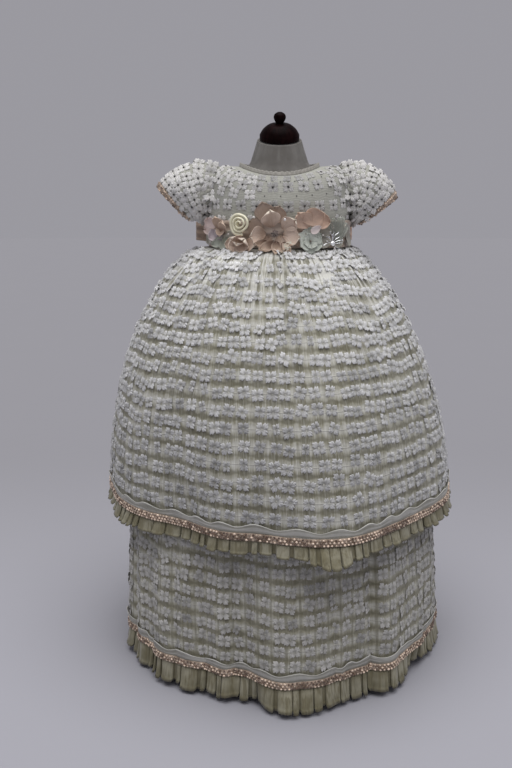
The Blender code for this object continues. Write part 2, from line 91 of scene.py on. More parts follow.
Fold = namedtuple("Fold", "angle width depth")
UPPER_FOLDS = [
    Fold(17, 14, 0.0150),
    Fold(-9, 7, -0.006),
    Fold(-36, 13, -0.015),
    Fold(-67, 9, 0.004),
    Fold(47, 9, -0.003),
    Fold(69, 9, 0.005),
    Fold(94, 14, 0.011),
    Fold(-94, 14, 0.0125),
    Fold(122, 10, -0.010),
    Fold(143, 9, 0.010),
    Fold(168, 11, -0.009),
    Fold(-166, 10, 0.011),
    Fold(-141, 11, -0.011),
    Fold(-118, 8, 0.006),
]
LOWER_FOLDS = [
    Fold(-14, 6, -0.015),
    Fold(0, 9, 0.007),
    Fold(25, 7, -0.010),
    Fold(38, 6, 0.004),
    Fold(50, 6, -0.003),
    Fold(-29, 9, -0.010),
    Fold(-48, 7, 0.002),
    Fold(-76, 9, 0.005),
    Fold(82, 9, 0.004),
    Fold(112, 7, -0.010),
    Fold(130, 8, 0.006),
    Fold(152, 7, -0.012),
    Fold(-172, 9, 0.006),
    Fold(-148, 7, -0.011),
    Fold(-122, 8, 0.007),
    Fold(-103, 6, -0.008),
]

Flip = namedtuple("Flip", "angle width outwards down")
UPPER_RUFFLE_REACH = 0.0155
UPPER_RUFFLE_FLIPS = [Flip(13, 5, 0.009, 0.008), Flip(-62, 8, 0.003, 0.002), Flip(128, 7, 0.006, 0.004)]
LOWER_RUFFLE_REACH = 0.0280
LOWER_RUFFLE_FLIPS = [Flip(-10, 3, -0.006, -0.004), Flip(55, 8, -0.007, -0.007), Flip(4, 8, 0.004, 0.001)]
RUFFLE_FLARE = 0.004
BRAID_FROM, BRAID_TO = 0.0003, 0.0095
RIBBON_TO = 0.0210

Ring = namedtuple("Ring", "half_width side_height front_depth front_height back_depth back_height")
BODICE = [
    Ring(0.0860, 0.5270, 0.0660, 0.5270, 0.0640, 0.5270),
    Ring(0.0870, 0.5450, 0.0670, 0.5450, 0.0650, 0.5450),
    Ring(0.0880, 0.5660, 0.0680, 0.5650, 0.0650, 0.5670),
    Ring(0.0880, 0.5900, 0.0660, 0.5830, 0.0630, 0.5900),
    Ring(0.0850, 0.6120, 0.0610, 0.5980, 0.0580, 0.6070),
    Ring(0.0740, 0.6245, 0.0555, 0.6070, 0.0520, 0.6170),
    Ring(0.0500, 0.6245, 0.0500, 0.6120, 0.0460, 0.6220),
]
BODICE_ROUNDNESS = 0.88
NECKLINE = len(BODICE) - 1
ARMHOLE_LOW, ARMHOLE_HIGH = 2.0, 5.0
ARMHOLE_HALF_ANGLE = 24
NECK_BINDING_HEIGHT = 0.0045
BUTTON_RADIUS = 0.0042

Puff = namedtuple("Puff", "outwards height half_tall half_deep tilt")
SLEEVE = [
    Puff(0.0955, 0.5940, 0.0355, 0.0320, 5),
    Puff(0.1085, 0.5905, 0.0360, 0.0375, 22),
    Puff(0.1220, 0.5860, 0.0320, 0.0350, 36),
    Puff(0.1325, 0.5800, 0.0262, 0.0285, 45),
]
SLEEVE_DROOP = {-1: 0.0, 1: 1.0}
CUFF_BRAID_SHARE = 0.13

BELT_LOW, BELT_HIGH = 0.5275, 0.5600
BOW_HEIGHT = 0.5440
KNOT_HALF_SIZE = Vector((0.0105, 0.0080, 0.0165))
BOW_BEHIND = BODICE[1].back_depth + SATIN_WALL + 2 * SEAM_GAP + KNOT_HALF_SIZE.y + SEAM_GAP
Loop = namedtuple("Loop", "side reach half_thickness half_tall")
BOW_LOOPS = [Loop(-1, 0.1090, 0.0115, 0.0165), Loop(1, 0.0990, 0.0120, 0.0150)]
Tail = namedtuple("Tail", "side lean length_share width")
BOW_TAILS = [Tail(-1, 12, 0.56, 0.030), Tail(1, 10, 0.50, 0.030)]

TorsoRing = namedtuple("TorsoRing", "height half_width half_depth")
TORSO = [
    TorsoRing(0.3760, 0.0000, 0.0000),
    TorsoRing(0.3760, 0.0440, 0.0340),
    TorsoRing(0.3860, 0.0720, 0.0560),
    TorsoRing(0.4100, 0.0820, 0.0640),
    TorsoRing(0.4500, 0.0820, 0.0640),
    TorsoRing(0.5000, 0.0785, 0.0590),
    TorsoRing(0.5400, 0.0790, 0.0590),
    TorsoRing(0.5750, 0.0820, 0.0600),
    TorsoRing(0.5980, 0.0800, 0.0545),
    TorsoRing(0.6110, 0.0690, 0.0470),
    TorsoRing(0.6190, 0.0500, 0.0410),
    TorsoRing(0.6265, 0.0380, 0.0365),
    TorsoRing(0.6400, 0.0325, 0.0325),
    TorsoRing(0.6560, 0.0275, 0.0275),
    TorsoRing(0.6570, 0.0000, 0.0000),
]
NECK_FOOT, NECK_TOP = 0.6280, 0.6570
NECK_SLANT = radians(18)
Turned = namedtuple("Turned", "radius height")
CAP = [Turned(0.0060, 0.0200), Turned(0.0135, 0.0180), Turned(0.0205, 0.0125), Turned(0.0245, 0.0060)]
CAP_EDGE = Turned(0.0245, 0.0006)
KNOB = [Turned(0.0030, 0.0130), Turned(0.0065, 0.0105), Turned(0.0075, 0.0065), Turned(0.0060, 0.0025)]
KNOB_NECK = Turned(0.0045, 0.0003)
POLE_RADIUS = 0.0110
BASE_RADIUS = 0.1200
BASE_HEIGHT = 0.0140

# The lace: how far apart its flowers are woven, and the size of one flower.
FLOWER_ACROSS = 0.0172
UPPER_FLOWER_DOWN = 0.0196
LOWER_FLOWER_DOWN = 0.0184
FLOWER_RADIUS = 0.0085
PETAL_LENGTH = 0.0074
PETAL_WIDTH = 0.0028
PETAL_HEIGHT = 0.0016
PETAL_SPREAD = 20
PETAL_TIP_WIDTH, PETAL_FOOT_WIDTH = 1.25, 0.90
SIDE_PETAL_REACH = 0.90
UPPER_COLUMNS = 76
LOWER_COLUMNS = 76
FIRST_ROW = 1.45
ROW_SWAY = 0.42
COLUMN_SHIFT = 0.34

# The lower skirt's flowers start where the upper skirt begins to hide them.
LACE_VISIBLE_UNDER = 0.2080
LACE_HIDDEN_MARGIN = 0.02

# Gathers start at a skirt's waist. Each carries two columns of flowers, one on its ridge, one in its valley.
Gather = namedtuple("Gather", "depth reach rest")
GATHER_DEPTH = 0.0030
GATHER_REACH = 0.34
UPPER_GATHER_REST = 0.12
LOWER_GATHER_REST = 0.75
LOWER_GATHER_COUNT = 30

# Sharp creases of the upper skirt: where each is, how wide, how deep, and the stretch that it runs down.
Crease = namedtuple("Crease", "angle width depth start end")
UPPER_CREASES = [
    Crease(-14, 1.7, 0.0036, 0.00, 0.44),
    Crease(-8, 1.3, 0.0040, 0.02, 0.52),
    Crease(-2, 1.5, 0.0046, 0.00, 0.40),
    Crease(4, 1.3, 0.0034, 0.03, 0.60),
    Crease(10, 1.6, 0.0040, 0.00, 0.42),
    Crease(-27, 2.0, 0.0030, 0.00, 0.36),
    Crease(26, 1.8, 0.0030, 0.00, 0.34),
    Crease(38, 2.2, 0.0036, 0.00, 0.55),
    Crease(-46, 2.4, 0.0034, 0.04, 0.50),
    Crease(-63, 2.0, 0.0030, 0.00, 0.42),
    Crease(58, 2.0, 0.0032, 0.00, 0.38),
    Crease(82, 2.2, 0.0034, 0.02, 0.50),
    Crease(-88, 2.2, 0.0034, 0.00, 0.46),
    Crease(108, 2.0, 0.0036, 0.00, 0.40),
    Crease(127, 1.8, 0.0034, 0.03, 0.56),
    Crease(151, 1.8, 0.0040, 0.00, 0.44),
    Crease(171, 1.6, 0.0036, 0.00, 0.38),
    Crease(-112, 2.0, 0.0034, 0.02, 0.48),
    Crease(-134, 1.9, 0.0038, 0.00, 0.42),
    Crease(-157, 1.7, 0.0036, 0.00, 0.54),
]
LOWER_CREASES = [
    Crease(-19, 1.6, 0.0050, 0.55, 1.60),
    Crease(19, 1.0, -0.0022, 0.60, 1.60),
    Crease(31, 1.5, 0.0036, 0.55, 1.60),
    Crease(-58, 1.6, 0.0034, 0.55, 1.60),
    Crease(-67, 1.3, 0.0030, 0.60, 1.50),
    Crease(62, 1.6, 0.0032, 0.55, 1.60),
    Crease(96, 1.8, 0.0036, 0.55, 1.60),
    Crease(140, 1.6, 0.0036, 0.55, 1.60),
    Crease(178, 1.8, 0.0036, 0.55, 1.60),
    Crease(-136, 1.6, 0.0036, 0.55, 1.60),
    Crease(-92, 1.6, 0.0036, 0.55, 1.60),
]
# Where some of the upper skirt's flowers are folded out of sight: round which angle and down which stretch.
Bare = namedtuple("Bare", "angle half_angle start end share")
UPPER_BARE = [
    Bare(-1, 7, 0.06, 0.30, 0.30),
    Bare(-9, 4, 0.20, 0.44, 0.30),
    Bare(140, 10, 0.10, 0.36, 0.6),
    Bare(-120, 8, 0.12, 0.34, 0.5),
]

BEAD_PITCH = 0.0125


# Small sums that the shapes share.


def degrees_apart(one, other):
    return (one - other + 180) % 360 - 180


def nearness(angle, middle, width):
    """1 at an angle, falling to 0 a few widths away on both sides."""
    return exp(-((degrees_apart(angle, middle) / width) ** 2))


def eased(share):
    """A share from 0 to 1, with a soft start and end."""
    share = min(max(share, 0), 1)
    return share * share * (3 - 2 * share)


def mixed_number(one, other, share):
    return one + (other - one) * share


def power(value, exponent):
    return abs(value) ** exponent * (1 if value > 0 else -1)


def between(rows, place):
    """The row at a fractional place in a table, on a smooth curve through its rows."""
    last = len(rows) - 1
    first = min(max(floor(place), 0), last - 1)
    share = place - first
    around = [rows[min(max(first + step, 0), last)] for step in (-1, 0, 1, 2)]
    values = []
    for before, start, end, after in zip(*around):
        leave, arrive = (end - before) / 2, (after - start) / 2
        bend = 2 * (start - end) + leave + arrive
        values.append(start + leave * share + (end - start - leave - bend) * share**2 + bend * share**3)
    return type(rows[0])(*values)


# Shader writing.


class Value:
    """A shader socket that takes part in arithmetic."""

    def __init__(self, finish, socket):
        self.finish = finish
        self.socket = socket

    def maths(self, operation, *others):
        return self.finish.maths(operation, self, *others)

    def __add__(self, other):
        return self.maths("ADD", other)

    __radd__ = __add__

    def __sub__(self, other):
        return self.maths("SUBTRACT", other)

    def __rsub__(self, other):
        return self.finish.maths("SUBTRACT", other, self)

    def __mul__(self, other):
        return self.maths("MULTIPLY", other)

    __rmul__ = __mul__


class Finish:
    """A material whose nodes are added one by one."""

    def __init__(self, name, colour=(0.8, 0.8, 0.8), **uniform):
        self.material = bpy.data.materials.new(name)
        self.material.use_nodes = True
        self.tree = self.material.node_tree
        self.shader = self.tree.nodes["Principled BSDF"]
        self.shader.inputs["Base Color"].default_value = (*colour, 1)
        for word, value in uniform.items():
            self.shader.inputs[word.replace("_", " ").title().replace("Ior", "IOR")].default_value = value

    def node(self, kind, settings, inputs, output=0):
        """Adds a node: its settings first, then the values or links of its sockets."""
        made = self.tree.nodes.new(kind)
        for word, setting in settings.items():
            setattr(made, word, setting)
        for socket, value in inputs.items():
            self.feed(made.inputs[socket], value)
        return Value(self, made.outputs[output])

    def feed(self, socket, value):
        if isinstance(value, Value):
            self.tree.links.new(value.socket, socket)
        elif isinstance(value, tuple) and len(value) == 3 and socket.type == "RGBA":
            socket.default_value = (*value, 1)
        else:
            socket.default_value = value

    def maths(self, operation, *values):
        return self.node("ShaderNodeMath", {"operation": operation}, dict(enumerate(values)))

    def parts(self, vector):
        """The first two numbers of a vector."""
        return [self.node("ShaderNodeSeparateXYZ", {}, {0: vector}, output) for output in (0, 1)]

    def place(self):
        """The point of the object."""
        return self.node("ShaderNodeTexCoord", {}, {}, "Object")

    def chart(self):
        """The two numbers that say where on its cloth a point is."""
        return self.parts(self.node("ShaderNodeTexCoord", {}, {}, "UV"))

    def shade(self):
        """The brightness that a small shape was given: its own tone, and on the skirts' and sleeves' flowers
        painted light too.
        """
        return self.node("ShaderNodeAttribute", {"attribute_name": "shade"}, {}, "Fac")

    def clouds(self, vector, scale, detail=3.0, roughness=0.55):
        sockets = {"Vector": vector, "Scale": scale, "Detail": detail, "Roughness": roughness}
        return self.node("ShaderNodeTexNoise", {}, sockets, "Fac")

    def stretched(self, across, down, times_across, times_down):
        """A vector from two chart numbers, each at its own scale."""
        return self.node("ShaderNodeCombineXYZ", {}, {0: across * times_across, 1: down * times_down})

    def drawn(self, across, down, times_across, times_down, detail=3.0, roughness=0.55):
        """Clouds drawn out over the chart, each way at its own scale."""
        return self.clouds(self.stretched(across, down, times_across, times_down), 1.0, detail, roughness)

    def step(self, value, start, end):
        """0 at the start and 1 at the end, with a soft turn."""
        sockets = {"Value": value, "From Min": start, "From Max": end}
        return self.node("ShaderNodeMapRange", {"interpolation_type": "SMOOTHSTEP"}, sockets)

    def blend(self, share, one, other):
        """Two colours mixed."""
        return self.node("ShaderNodeMix", {"data_type": "RGBA"}, {0: share, 6: one, 7: other}, 2)

    def tinted(self, colour, brightness):
        """A colour times a number."""
        grey = self.node("ShaderNodeCombineColor", {}, {0: brightness, 1: brightness, 2: brightness})
        settings = {"data_type": "RGBA", "blend_type": "MULTIPLY"}
        return self.node("ShaderNodeMix", settings, {0: 1.0, 6: colour, 7: grey}, 2)

    def paint(self, colour):
        self.feed(self.shader.inputs["Base Color"], colour)

    def dull(self, roughness):
        self.feed(self.shader.inputs["Roughness"], roughness)

    def clear(self, alpha):
        self.feed(self.shader.inputs["Alpha"], alpha)

    def raised(self, height, distance, strength=1.0):
        sockets = {"Height": height, "Distance": distance, "Strength": strength}
        self.feed(self.shader.inputs["Normal"], self.node("ShaderNodeBump", {}, sockets))


def from_middle(finish, value):
    """How far a number is from the nearest whole one, 0 to 0.5."""
    return finish.maths("PINGPONG", value, 0.5)


LINING_BESIDE_FLOWERS = (0.66, 0.655, 0.61)
# Painted highlight: the net's colour where light falls on the gather ridges near the waist.
PAINTED_HIGHLIGHT_ON_RIDGES = (0.82, 0.815, 0.77)


def lace_ground(name, light, dark, deep_lining_and_shade, lattice):
    """Net over a lining. Flowers are woven at whole numbers of the chart; the rows between are darker, partly
    the lining through the open net and partly painted shadow under the flowers.

    The lattice is how strongly the gaps between columns darken too.
    """
    finish = Finish(name, roughness=0.78, sheen_weight=0.15)
    across, down = finish.chart()
    from_column = from_middle(finish, across)
    from_row = from_middle(finish, down)
    streaks = finish.drawn(across, down, 9.0, 0.9, 4.0, 0.7)
    drawn = finish.drawn(across, down, 1.9, 0.16, 4.0, 0.65)
    patches = finish.drawn(across, down, 0.35, 0.30, 2.0)
    net = (finish.maths("SINE", across * 75.4) + finish.maths("SINE", down * 88.0)) * 0.25 + 0.5
    row_thread = 1 - finish.step(from_row + (streaks - 0.5) * 0.03, 0.015, 0.045)
    column_thread = 1 - finish.step(from_column, 0.012, 0.035)
    scallop = from_row + finish.maths("COSINE", across * 2 * pi) * 0.06 + (patches - 0.5) * 0.16
    # Painted shadow: the scalloped band under each row is partly the lining through the open net and partly
    # painted shadow cast by the flowers.
    gap = finish.step(scallop, 0.27, 0.45) * (0.10 + patches * 1.10)
    near_waist = finish.step(down, 10.0, 18.0)
    # Painted shade and light: near the waist the gather valleys darken with painted shade, and the ridges
    # lighten with a painted highlight.
    valley_shade = finish.step(drawn, 0.52, 0.62) * (0.30 + near_waist * 0.45)
    ridge = finish.step(drawn, 0.53, 0.42) * (near_waist * 0.95 + 0.05)
    between_columns = finish.step(from_column, 0.36, 0.47) * lattice
    cloth = finish.blend(finish.step(streaks, 0.36, 0.70), dark, light)
    beside_flowers = (1 - finish.step(scallop, 0.06, 0.30)) * (0.35 + streaks * 0.45)
    cloth = finish.blend(beside_flowers, cloth, LINING_BESIDE_FLOWERS)
    open_net = finish.maths("MAXIMUM", gap * (1 - near_waist * 0.5), between_columns)
    cloth = finish.blend(open_net, cloth, deep_lining_and_shade)
    cloth = finish.blend(valley_shade * 0.7, cloth, deep_lining_and_shade)
    cloth = finish.blend(ridge * 0.85, cloth, PAINTED_HIGHLIGHT_ON_RIDGES)
    threads = finish.maths("MAXIMUM", row_thread, column_thread * 0.6)
    cloth = finish.blend(threads * 0.40, cloth, light)
    finish.paint(finish.tinted(cloth, 0.82 + net * 0.10 + patches * 0.20))
    finish.raised(streaks * 0.5 + net * 0.2 + threads * 0.4 - gap * 0.5 - valley_shade * 0.8, 0.0009)
    return finish.material


def bodice_ground():
    """Closer lace for the bodice and sleeves, with wavy lines woven across the yoke."""
    finish = Finish("bodice_lace", roughness=0.75, sheen_weight=0.15)
    across, down = finish.chart()
    from_row = from_middle(finish, down)
    wave = down * 6.0 + finish.maths("SINE", across * 7.0) * 0.30
    lines = finish.step(from_middle(finish, wave), 0.10, 0.34)
    streaks = finish.drawn(across, down, 11.0, 2.4, 4.0, 0.7)
    speckle = finish.drawn(across, down, 9.0, 9.0, 2.0)
    cloth = finish.blend(lines * 0.14 + streaks * 0.50, (0.47, 0.47, 0.42), (0.22, 0.215, 0.165))
    cloth = finish.blend(finish.step(from_row, 0.34, 0.48) * 0.15, cloth, (0.16, 0.15, 0.11))
    finish.paint(finish.tinted(cloth, 0.85 + speckle * 0.30))
    finish.raised(streaks * 0.4 - lines * 0.12 + speckle * 0.3, 0.0007)
    return finish.material


def flower_thread(name, tip, root):
    """Embroidery thread, laid outwards from the middle of each flower. Its middle and the sides of its petals
    take the darker root colour, which is painted shade, so the tips are brightest.
    """
    finish = Finish(name, roughness=0.52, sheen_weight=0.25)
    across, outwards = finish.chart()
    threads = finish.maths("SINE", across * 60.0) * 0.5 + 0.5
    # Painted shade: the petals' sides and the flower's middle take the darker root colour, as shade between
    # and under the petals.
    edge = finish.step(finish.maths("ABSOLUTE", across), 0.20, 0.60)
    share = finish.step(outwards, 0.08, 0.62) * (1 - edge * 0.50)
    colour = finish.blend(share, root, tip)
    finish.paint(finish.tinted(colour, finish.shade() * (0.90 + threads * 0.10)))
    finish.raised(threads, 0.0004, 0.8)
    return finish.material


def sheer_cloth(name, colour, cover, shine=0.42):
    """Organza or tulle: fine threads that let some of what is behind show through."""
    finish = Finish(name, colour, roughness=shine, sheen_weight=0.2)
    place = finish.place()
    threads = finish.clouds(place, 900.0, 2.0)
    clouds = finish.clouds(place, 90.0, 3.0)
    finish.paint(finish.tinted(colour, 0.78 + clouds * 0.44))
    finish.clear(finish.maths("MINIMUM", cover + (threads - 0.5) * 0.35 + (clouds - 0.5) * 0.25, 1.0))
    finish.raised(threads * 0.5 + clouds, 0.0005)
    return finish.material


def hem_ribbon():
    """Sheer ribbon with soft folds along it and a corded upper edge."""
    finish = Finish("hem_ribbon", roughness=0.5, sheen_weight=0.2)
    across, down = finish.chart()
    folds = finish.drawn(across, down, 0.6, 3.0, 3.0)
    slack = finish.drawn(across, down, 7.0, 0.8, 2.0)
    edge = 1 - finish.step(down, 0.06, 0.16)
    cloth = finish.blend(finish.step(folds, 0.38, 0.62), (0.36, 0.35, 0.30), (0.56, 0.55, 0.51))
    cloth = finish.blend(edge * 0.45, cloth, (0.62, 0.61, 0.56))
    finish.paint(finish.tinted(cloth, 0.85 + slack * 0.30))
    finish.clear(finish.maths("MINIMUM", 0.40 + folds * 0.35 + edge * 0.5, 1.0))
    finish.raised(folds + edge * 0.8 + slack * 0.3, 0.0008)
    return finish.material


def satin_cloth(name, colour, shine=0.34):
    """Satin: a fine slub along its length and soft wear in its brightness."""
    finish = Finish(name, colour, roughness=shine, sheen_weight=0.2)
    place = finish.place()
    clouds = finish.clouds(place, 60.0, 3.0)
    slub = finish.clouds(place, 1400.0, 2.0)
    finish.paint(finish.tinted(colour, 0.84 + clouds * 0.22 + slub * 0.10))
    finish.dull(shine + (clouds - 0.5) * 0.2)
    finish.raised(slub * 0.3 + clouds, 0.0006)
    return finish.material


def petal_cloth(name, edge, heart):
    """Petal cloth, deeper in colour at its heart, partly its dye and partly painted shade where the petals
    meet, with veins that run to its edge and a painted highlight along its rim.
    """
    finish = Finish(name, edge, roughness=0.62, sheen_weight=0.3)
    across, outwards = finish.chart()
    veins = finish.drawn(across, outwards, 26.0, 1.6, 3.0)
    weave = finish.clouds(finish.place(), 1600.0, 2.0)
    patches = finish.clouds(finish.place(), 48.0, 2.0)
    reach = outwards + (veins - 0.5) * 0.3 + (0.5 - patches) * 1.4
    colour = finish.blend(finish.step(reach, 0.05, 0.75), heart, edge)
    # Painted highlight: a brighter copy of the edge colour along each petal's rim, where it curls up to the
    # light.
    rim_highlight = tuple(min(part * 1.3, 0.85) for part in edge)
    colour = finish.blend(finish.step(outwards, 0.86, 0.97) * 0.6, colour, rim_highlight)
    finish.paint(finish.tinted(colour, 0.74 + veins * 0.40 + weave * 0.12))
    finish.raised(veins + weave * 0.35, 0.0006)
    return finish.material


def ruffle_voile():
    """Pleated voile: lighter on its faces and darkened with painted shade in the recesses, with a rolled edge
    at its hem.
    """
    finish = Finish("ruffle_voile", roughness=0.72, sheen_weight=0.2)
    forward, down = finish.chart()
    place = finish.place()
    drawn = finish.node("ShaderNodeMapping", {}, {"Vector": place, "Scale": (520.0, 520.0, 18.0)})
    grain = finish.clouds(drawn, 1.0, 3.0)
    wide = finish.node("ShaderNodeMapping", {}, {"Vector": place, "Scale": (230.0, 230.0, 9.0)})
    strips = finish.clouds(wide, 1.0, 2.0)
    patches = finish.clouds(place, 30.0, 3.0)
    cloth = finish.blend(finish.step(patches, 0.36, 0.64), (0.165, 0.148, 0.086), (0.275, 0.258, 0.186))
    cloth = finish.blend(finish.step(strips, 0.47, 0.60) * 0.65, cloth, (0.13, 0.112, 0.058))
    # Painted shade: the recesses between the pleats darken towards a deep olive.
    cloth = finish.blend((1 - forward) * 0.60, cloth, (0.12, 0.103, 0.052))
    hem = finish.step(down, 0.78, 0.92)
    cloth = finish.blend(hem * 0.45, cloth, (0.15, 0.132, 0.072))
    finish.paint(finish.tinted(cloth, 0.88 + grain * 0.56 - down * 0.30))
    finish.raised(grain * 0.8 + hem, 0.0005)
    return finish.material


def braid_web():
    """The braid's woven ground: brown and gold yarns that cross on the slant."""
    finish = Finish("braid_web", roughness=0.55)
    across, down = finish.chart()
    one = finish.maths("SINE", across * 2 * pi * 9 + down * 7.0) * 0.5 + 0.5
    other = finish.maths("SINE", across * 2 * pi * 9 - down * 7.0) * 0.5 + 0.5
    clouds = finish.drawn(across, down, 0.9, 0.8, 2.0)
    yarn = finish.maths("MAXIMUM", one, other)
    cloth = finish.blend(finish.step(clouds, 0.42, 0.60), (0.33, 0.25, 0.185), (0.55, 0.43, 0.335))
    finish.paint(finish.tinted(cloth, 0.50 + yarn * 0.65))
    finish.raised(yarn, 0.0005)
    return finish.material


def bead_finish(name, colour, metallic, shine):
    """Seed beads, each with its own brightness."""
    finish = Finish(name, colour, metallic=metallic, roughness=shine, coat_weight=0.3)
    bloom = finish.clouds(finish.place(), 420.0, 2.0)
    finish.paint(finish.tinted(colour, finish.shade() * (0.7 + bloom * 0.6)))
    finish.dull(shine + bloom * 0.12)
    return finish.material


def knitted_jersey():
    """Stretch jersey: wales up the form and courses round it."""
    finish = Finish("jersey", roughness=0.88, sheen_weight=0.25)
    across, down = finish.chart()
    wales = finish.maths("ABSOLUTE", finish.maths("SINE", across * pi * 190))
    courses = finish.maths("ABSOLUTE", finish.maths("SINE", down * pi * 260 + wales * 0.8))
    pull = finish.drawn(across, down, 16.0, 3.0, 3.0)
    cloth = finish.blend(finish.step(pull, 0.35, 0.68), (0.128, 0.117, 0.101), (0.190, 0.178, 0.160))
    finish.paint(finish.tinted(cloth, 0.72 + wales * 0.22 + courses * 0.16))
    finish.raised(wales * 0.6 + courses * 0.4 + pull * 0.8, 0.0005)
    return finish.material


def dark_wood():
    """Oiled dark wood, its grain drawn out along its height, and darkened further with painted shade."""
    finish = Finish("dark_wood", roughness=0.4, specular_ior_level=0.03)
    place = finish.place()
    drawn = finish.node("ShaderNodeMapping", {}, {"Vector": place, "Scale": (140.0, 140.0, 16.0)})
    grain = finish.clouds(drawn, 1.0, 5.0, 0.65)
    pores = finish.clouds(place, 700.0, 2.0)
    # The near-black colour is partly the wood's own and partly painted shade, as the cap stood in shade.
    colour = finish.blend(finish.step(grain, 0.36, 0.66), (0.004, 0.0012, 0.0012), (0.012, 0.0036, 0.0036))
    finish.paint(finish.tinted(colour, 0.8 + pores * 0.4))
    finish.dull(0.34 + grain * 0.20)
    finish.raised(grain + pores * 0.4, 0.0003)
    return finish.material


def pearl_finish():
    finish = Finish("pearl", roughness=0.18, coat_weight=0.6)
    rings = finish.clouds(finish.place(), 260.0, 2.0)
    finish.paint(finish.blend(rings, (0.78, 0.74, 0.68), (0.74, 0.70, 0.72)))
    finish.dull(0.14 + rings * 0.12)
    return finish.material


def studio_floor():
    """A pale matt floor that falls away to a slightly deeper tone behind."""
    finish = Finish("studio_floor", roughness=0.95)
    place = finish.place()
    back = finish.node("ShaderNodeSeparateXYZ", {}, {0: place}, 1)
    clouds = finish.clouds(place, 3.0, 2.0)
    colour = finish.blend(finish.step(back, -0.30, 0.90), (0.350, 0.347, 0.381), (0.261, 0.257, 0.276))
    finish.paint(finish.tinted(colour, 0.99 + clouds * 0.02))
    return finish.material


FINISHES = {
    "skirt_lace": lace_ground(
        "skirt_lace", (0.55, 0.54, 0.475), (0.27, 0.255, 0.18), (0.115, 0.106, 0.060), lattice=0.12
    ),
    # Painted shade: the lower skirt's lace and thread are darker copies of the upper skirt's, for the shade
    # under the upper skirt.
    "lower_lace": lace_ground(
        "lower_lace", (0.43, 0.415, 0.335), (0.25, 0.236, 0.165), (0.12, 0.110, 0.064), lattice=0.50
    ),
    "bodice_lace": bodice_ground(),
    # Each thread's second colour is painted shade for the flowers' middles and the sides of their petals.
    "skirt_thread": flower_thread("skirt_thread", (0.86, 0.855, 0.85), (0.50, 0.49, 0.455)),
    "lower_thread": flower_thread("lower_thread", (0.81, 0.79, 0.75), (0.48, 0.465, 0.42)),
    "bodice_thread": flower_thread("bodice_thread", (0.93, 0.91, 0.88), (0.74, 0.725, 0.68)),
    "hem_ribbon": hem_ribbon(),
    "neck_organza": sheer_cloth("neck_organza", (0.42, 0.40, 0.35), 0.66),
    "braid_web": braid_web(),
    "gold_beads": bead_finish("gold_beads", (0.78, 0.62, 0.49), 0.20, 0.32),
    "brown_beads": bead_finish("brown_beads", (0.17, 0.11, 0.08), 0.1, 0.30),
    "braid_cord": bead_finish("braid_cord", (0.24, 0.15, 0.10), 0.0, 0.5),
    "heart_beads": bead_finish("heart_beads", (0.20, 0.16, 0.14), 0.3, 0.2),
    "rhinestones": bead_finish("rhinestones", (0.055, 0.050, 0.050), 0.5, 0.06),
    "silver_beads": bead_finish("silver_beads", (0.82, 0.82, 0.84), 0.7, 0.15),
    "stamen_wire": bead_finish("stamen_wire", (0.78, 0.74, 0.62), 0.0, 0.5),
    "ruffle_voile": ruffle_voile(),
    "peach_satin": satin_cloth("peach_satin", (0.66, 0.49, 0.39)),
    "belt_satin": satin_cloth("belt_satin", (0.46, 0.37, 0.30)),
    "peach_organza": sheer_cloth("peach_organza", (0.66, 0.47, 0.355), 0.88, 0.34),
    "pink_organza": sheer_cloth("pink_organza", (0.74, 0.60, 0.55), 0.86, 0.34),
    "cream_satin": satin_cloth("cream_satin", (0.82, 0.785, 0.585)),
    "white_satin": satin_cloth("white_satin", (0.82, 0.72, 0.68), 0.28),
    # Each petal cloth's second colour is its heart: partly dye, partly painted shade where the petals meet.
    "dusty_pink_cloth": petal_cloth("dusty_pink_cloth", (0.75, 0.60, 0.49), (0.43, 0.30, 0.215)),
    "brown_organza": sheer_cloth("brown_organza", (0.44, 0.33, 0.255), 0.72),
    "brown_petal": petal_cloth("brown_petal", (0.60, 0.455, 0.345), (0.24, 0.15, 0.10)),
    "lilac_cloth": petal_cloth("lilac_cloth", (0.52, 0.45, 0.46), (0.33, 0.27, 0.28)),
    "grey_green_cloth": petal_cloth("grey_green_cloth", (0.60, 0.63, 0.56), (0.47, 0.50, 0.43)),
    "grey_green_tulle": sheer_cloth("grey_green_tulle", (0.44, 0.455, 0.40), 0.50, 0.6),
    "backing_cloth": petal_cloth("backing_cloth", (0.42, 0.40, 0.34), (0.28, 0.26, 0.21)),
    "leaf_cloth": petal_cloth("leaf_cloth", (0.47, 0.495, 0.42), (0.33, 0.35, 0.27)),
    "pearl": pearl_finish(),
    "jersey": knitted_jersey(),
    "dark_wood": dark_wood(),
}


# Mesh making.


def add_piece(name, bm, finish, slot, solids=(), sharp=40):
    """A named piece from a finished bmesh. It rides on the one body and stands for its solids."""
    mesh = bpy.data.meshes.new(name)
    bm.to_mesh(mesh)
    bm.free()
    return keep_piece(name, mesh, finish, slot, solids, sharp)


def keep_piece(name, mesh, finish, slot, solids=(), sharp=40):
    mesh.materials.append(FINISHES[finish])
    mesh.shade_smooth()
    mesh.set_sharp_from_angle(angle=radians(sharp))
    piece = bpy.data.objects.new(name, mesh)
    bpy.context.scene.collection.objects.link(piece)
    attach(piece, "root")
    if solids:
        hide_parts(*solids)
    return piece


def add_shade(piece, shade):
    """Gives a whole piece one brightness, for a finish that reads it."""
    values = np.full(len(piece.data.vertices), shade)
    piece.data.attributes.new("shade", "FLOAT", "POINT").data.foreach_set("value", values)
    return piece


def add_wall(piece, thickness):
    """Thickness inwards from the open surface, which stays where it is."""
    wall = piece.modifiers.new("Wall", "SOLIDIFY")
    wall.thickness = thickness
    wall.offset = -1
    return piece


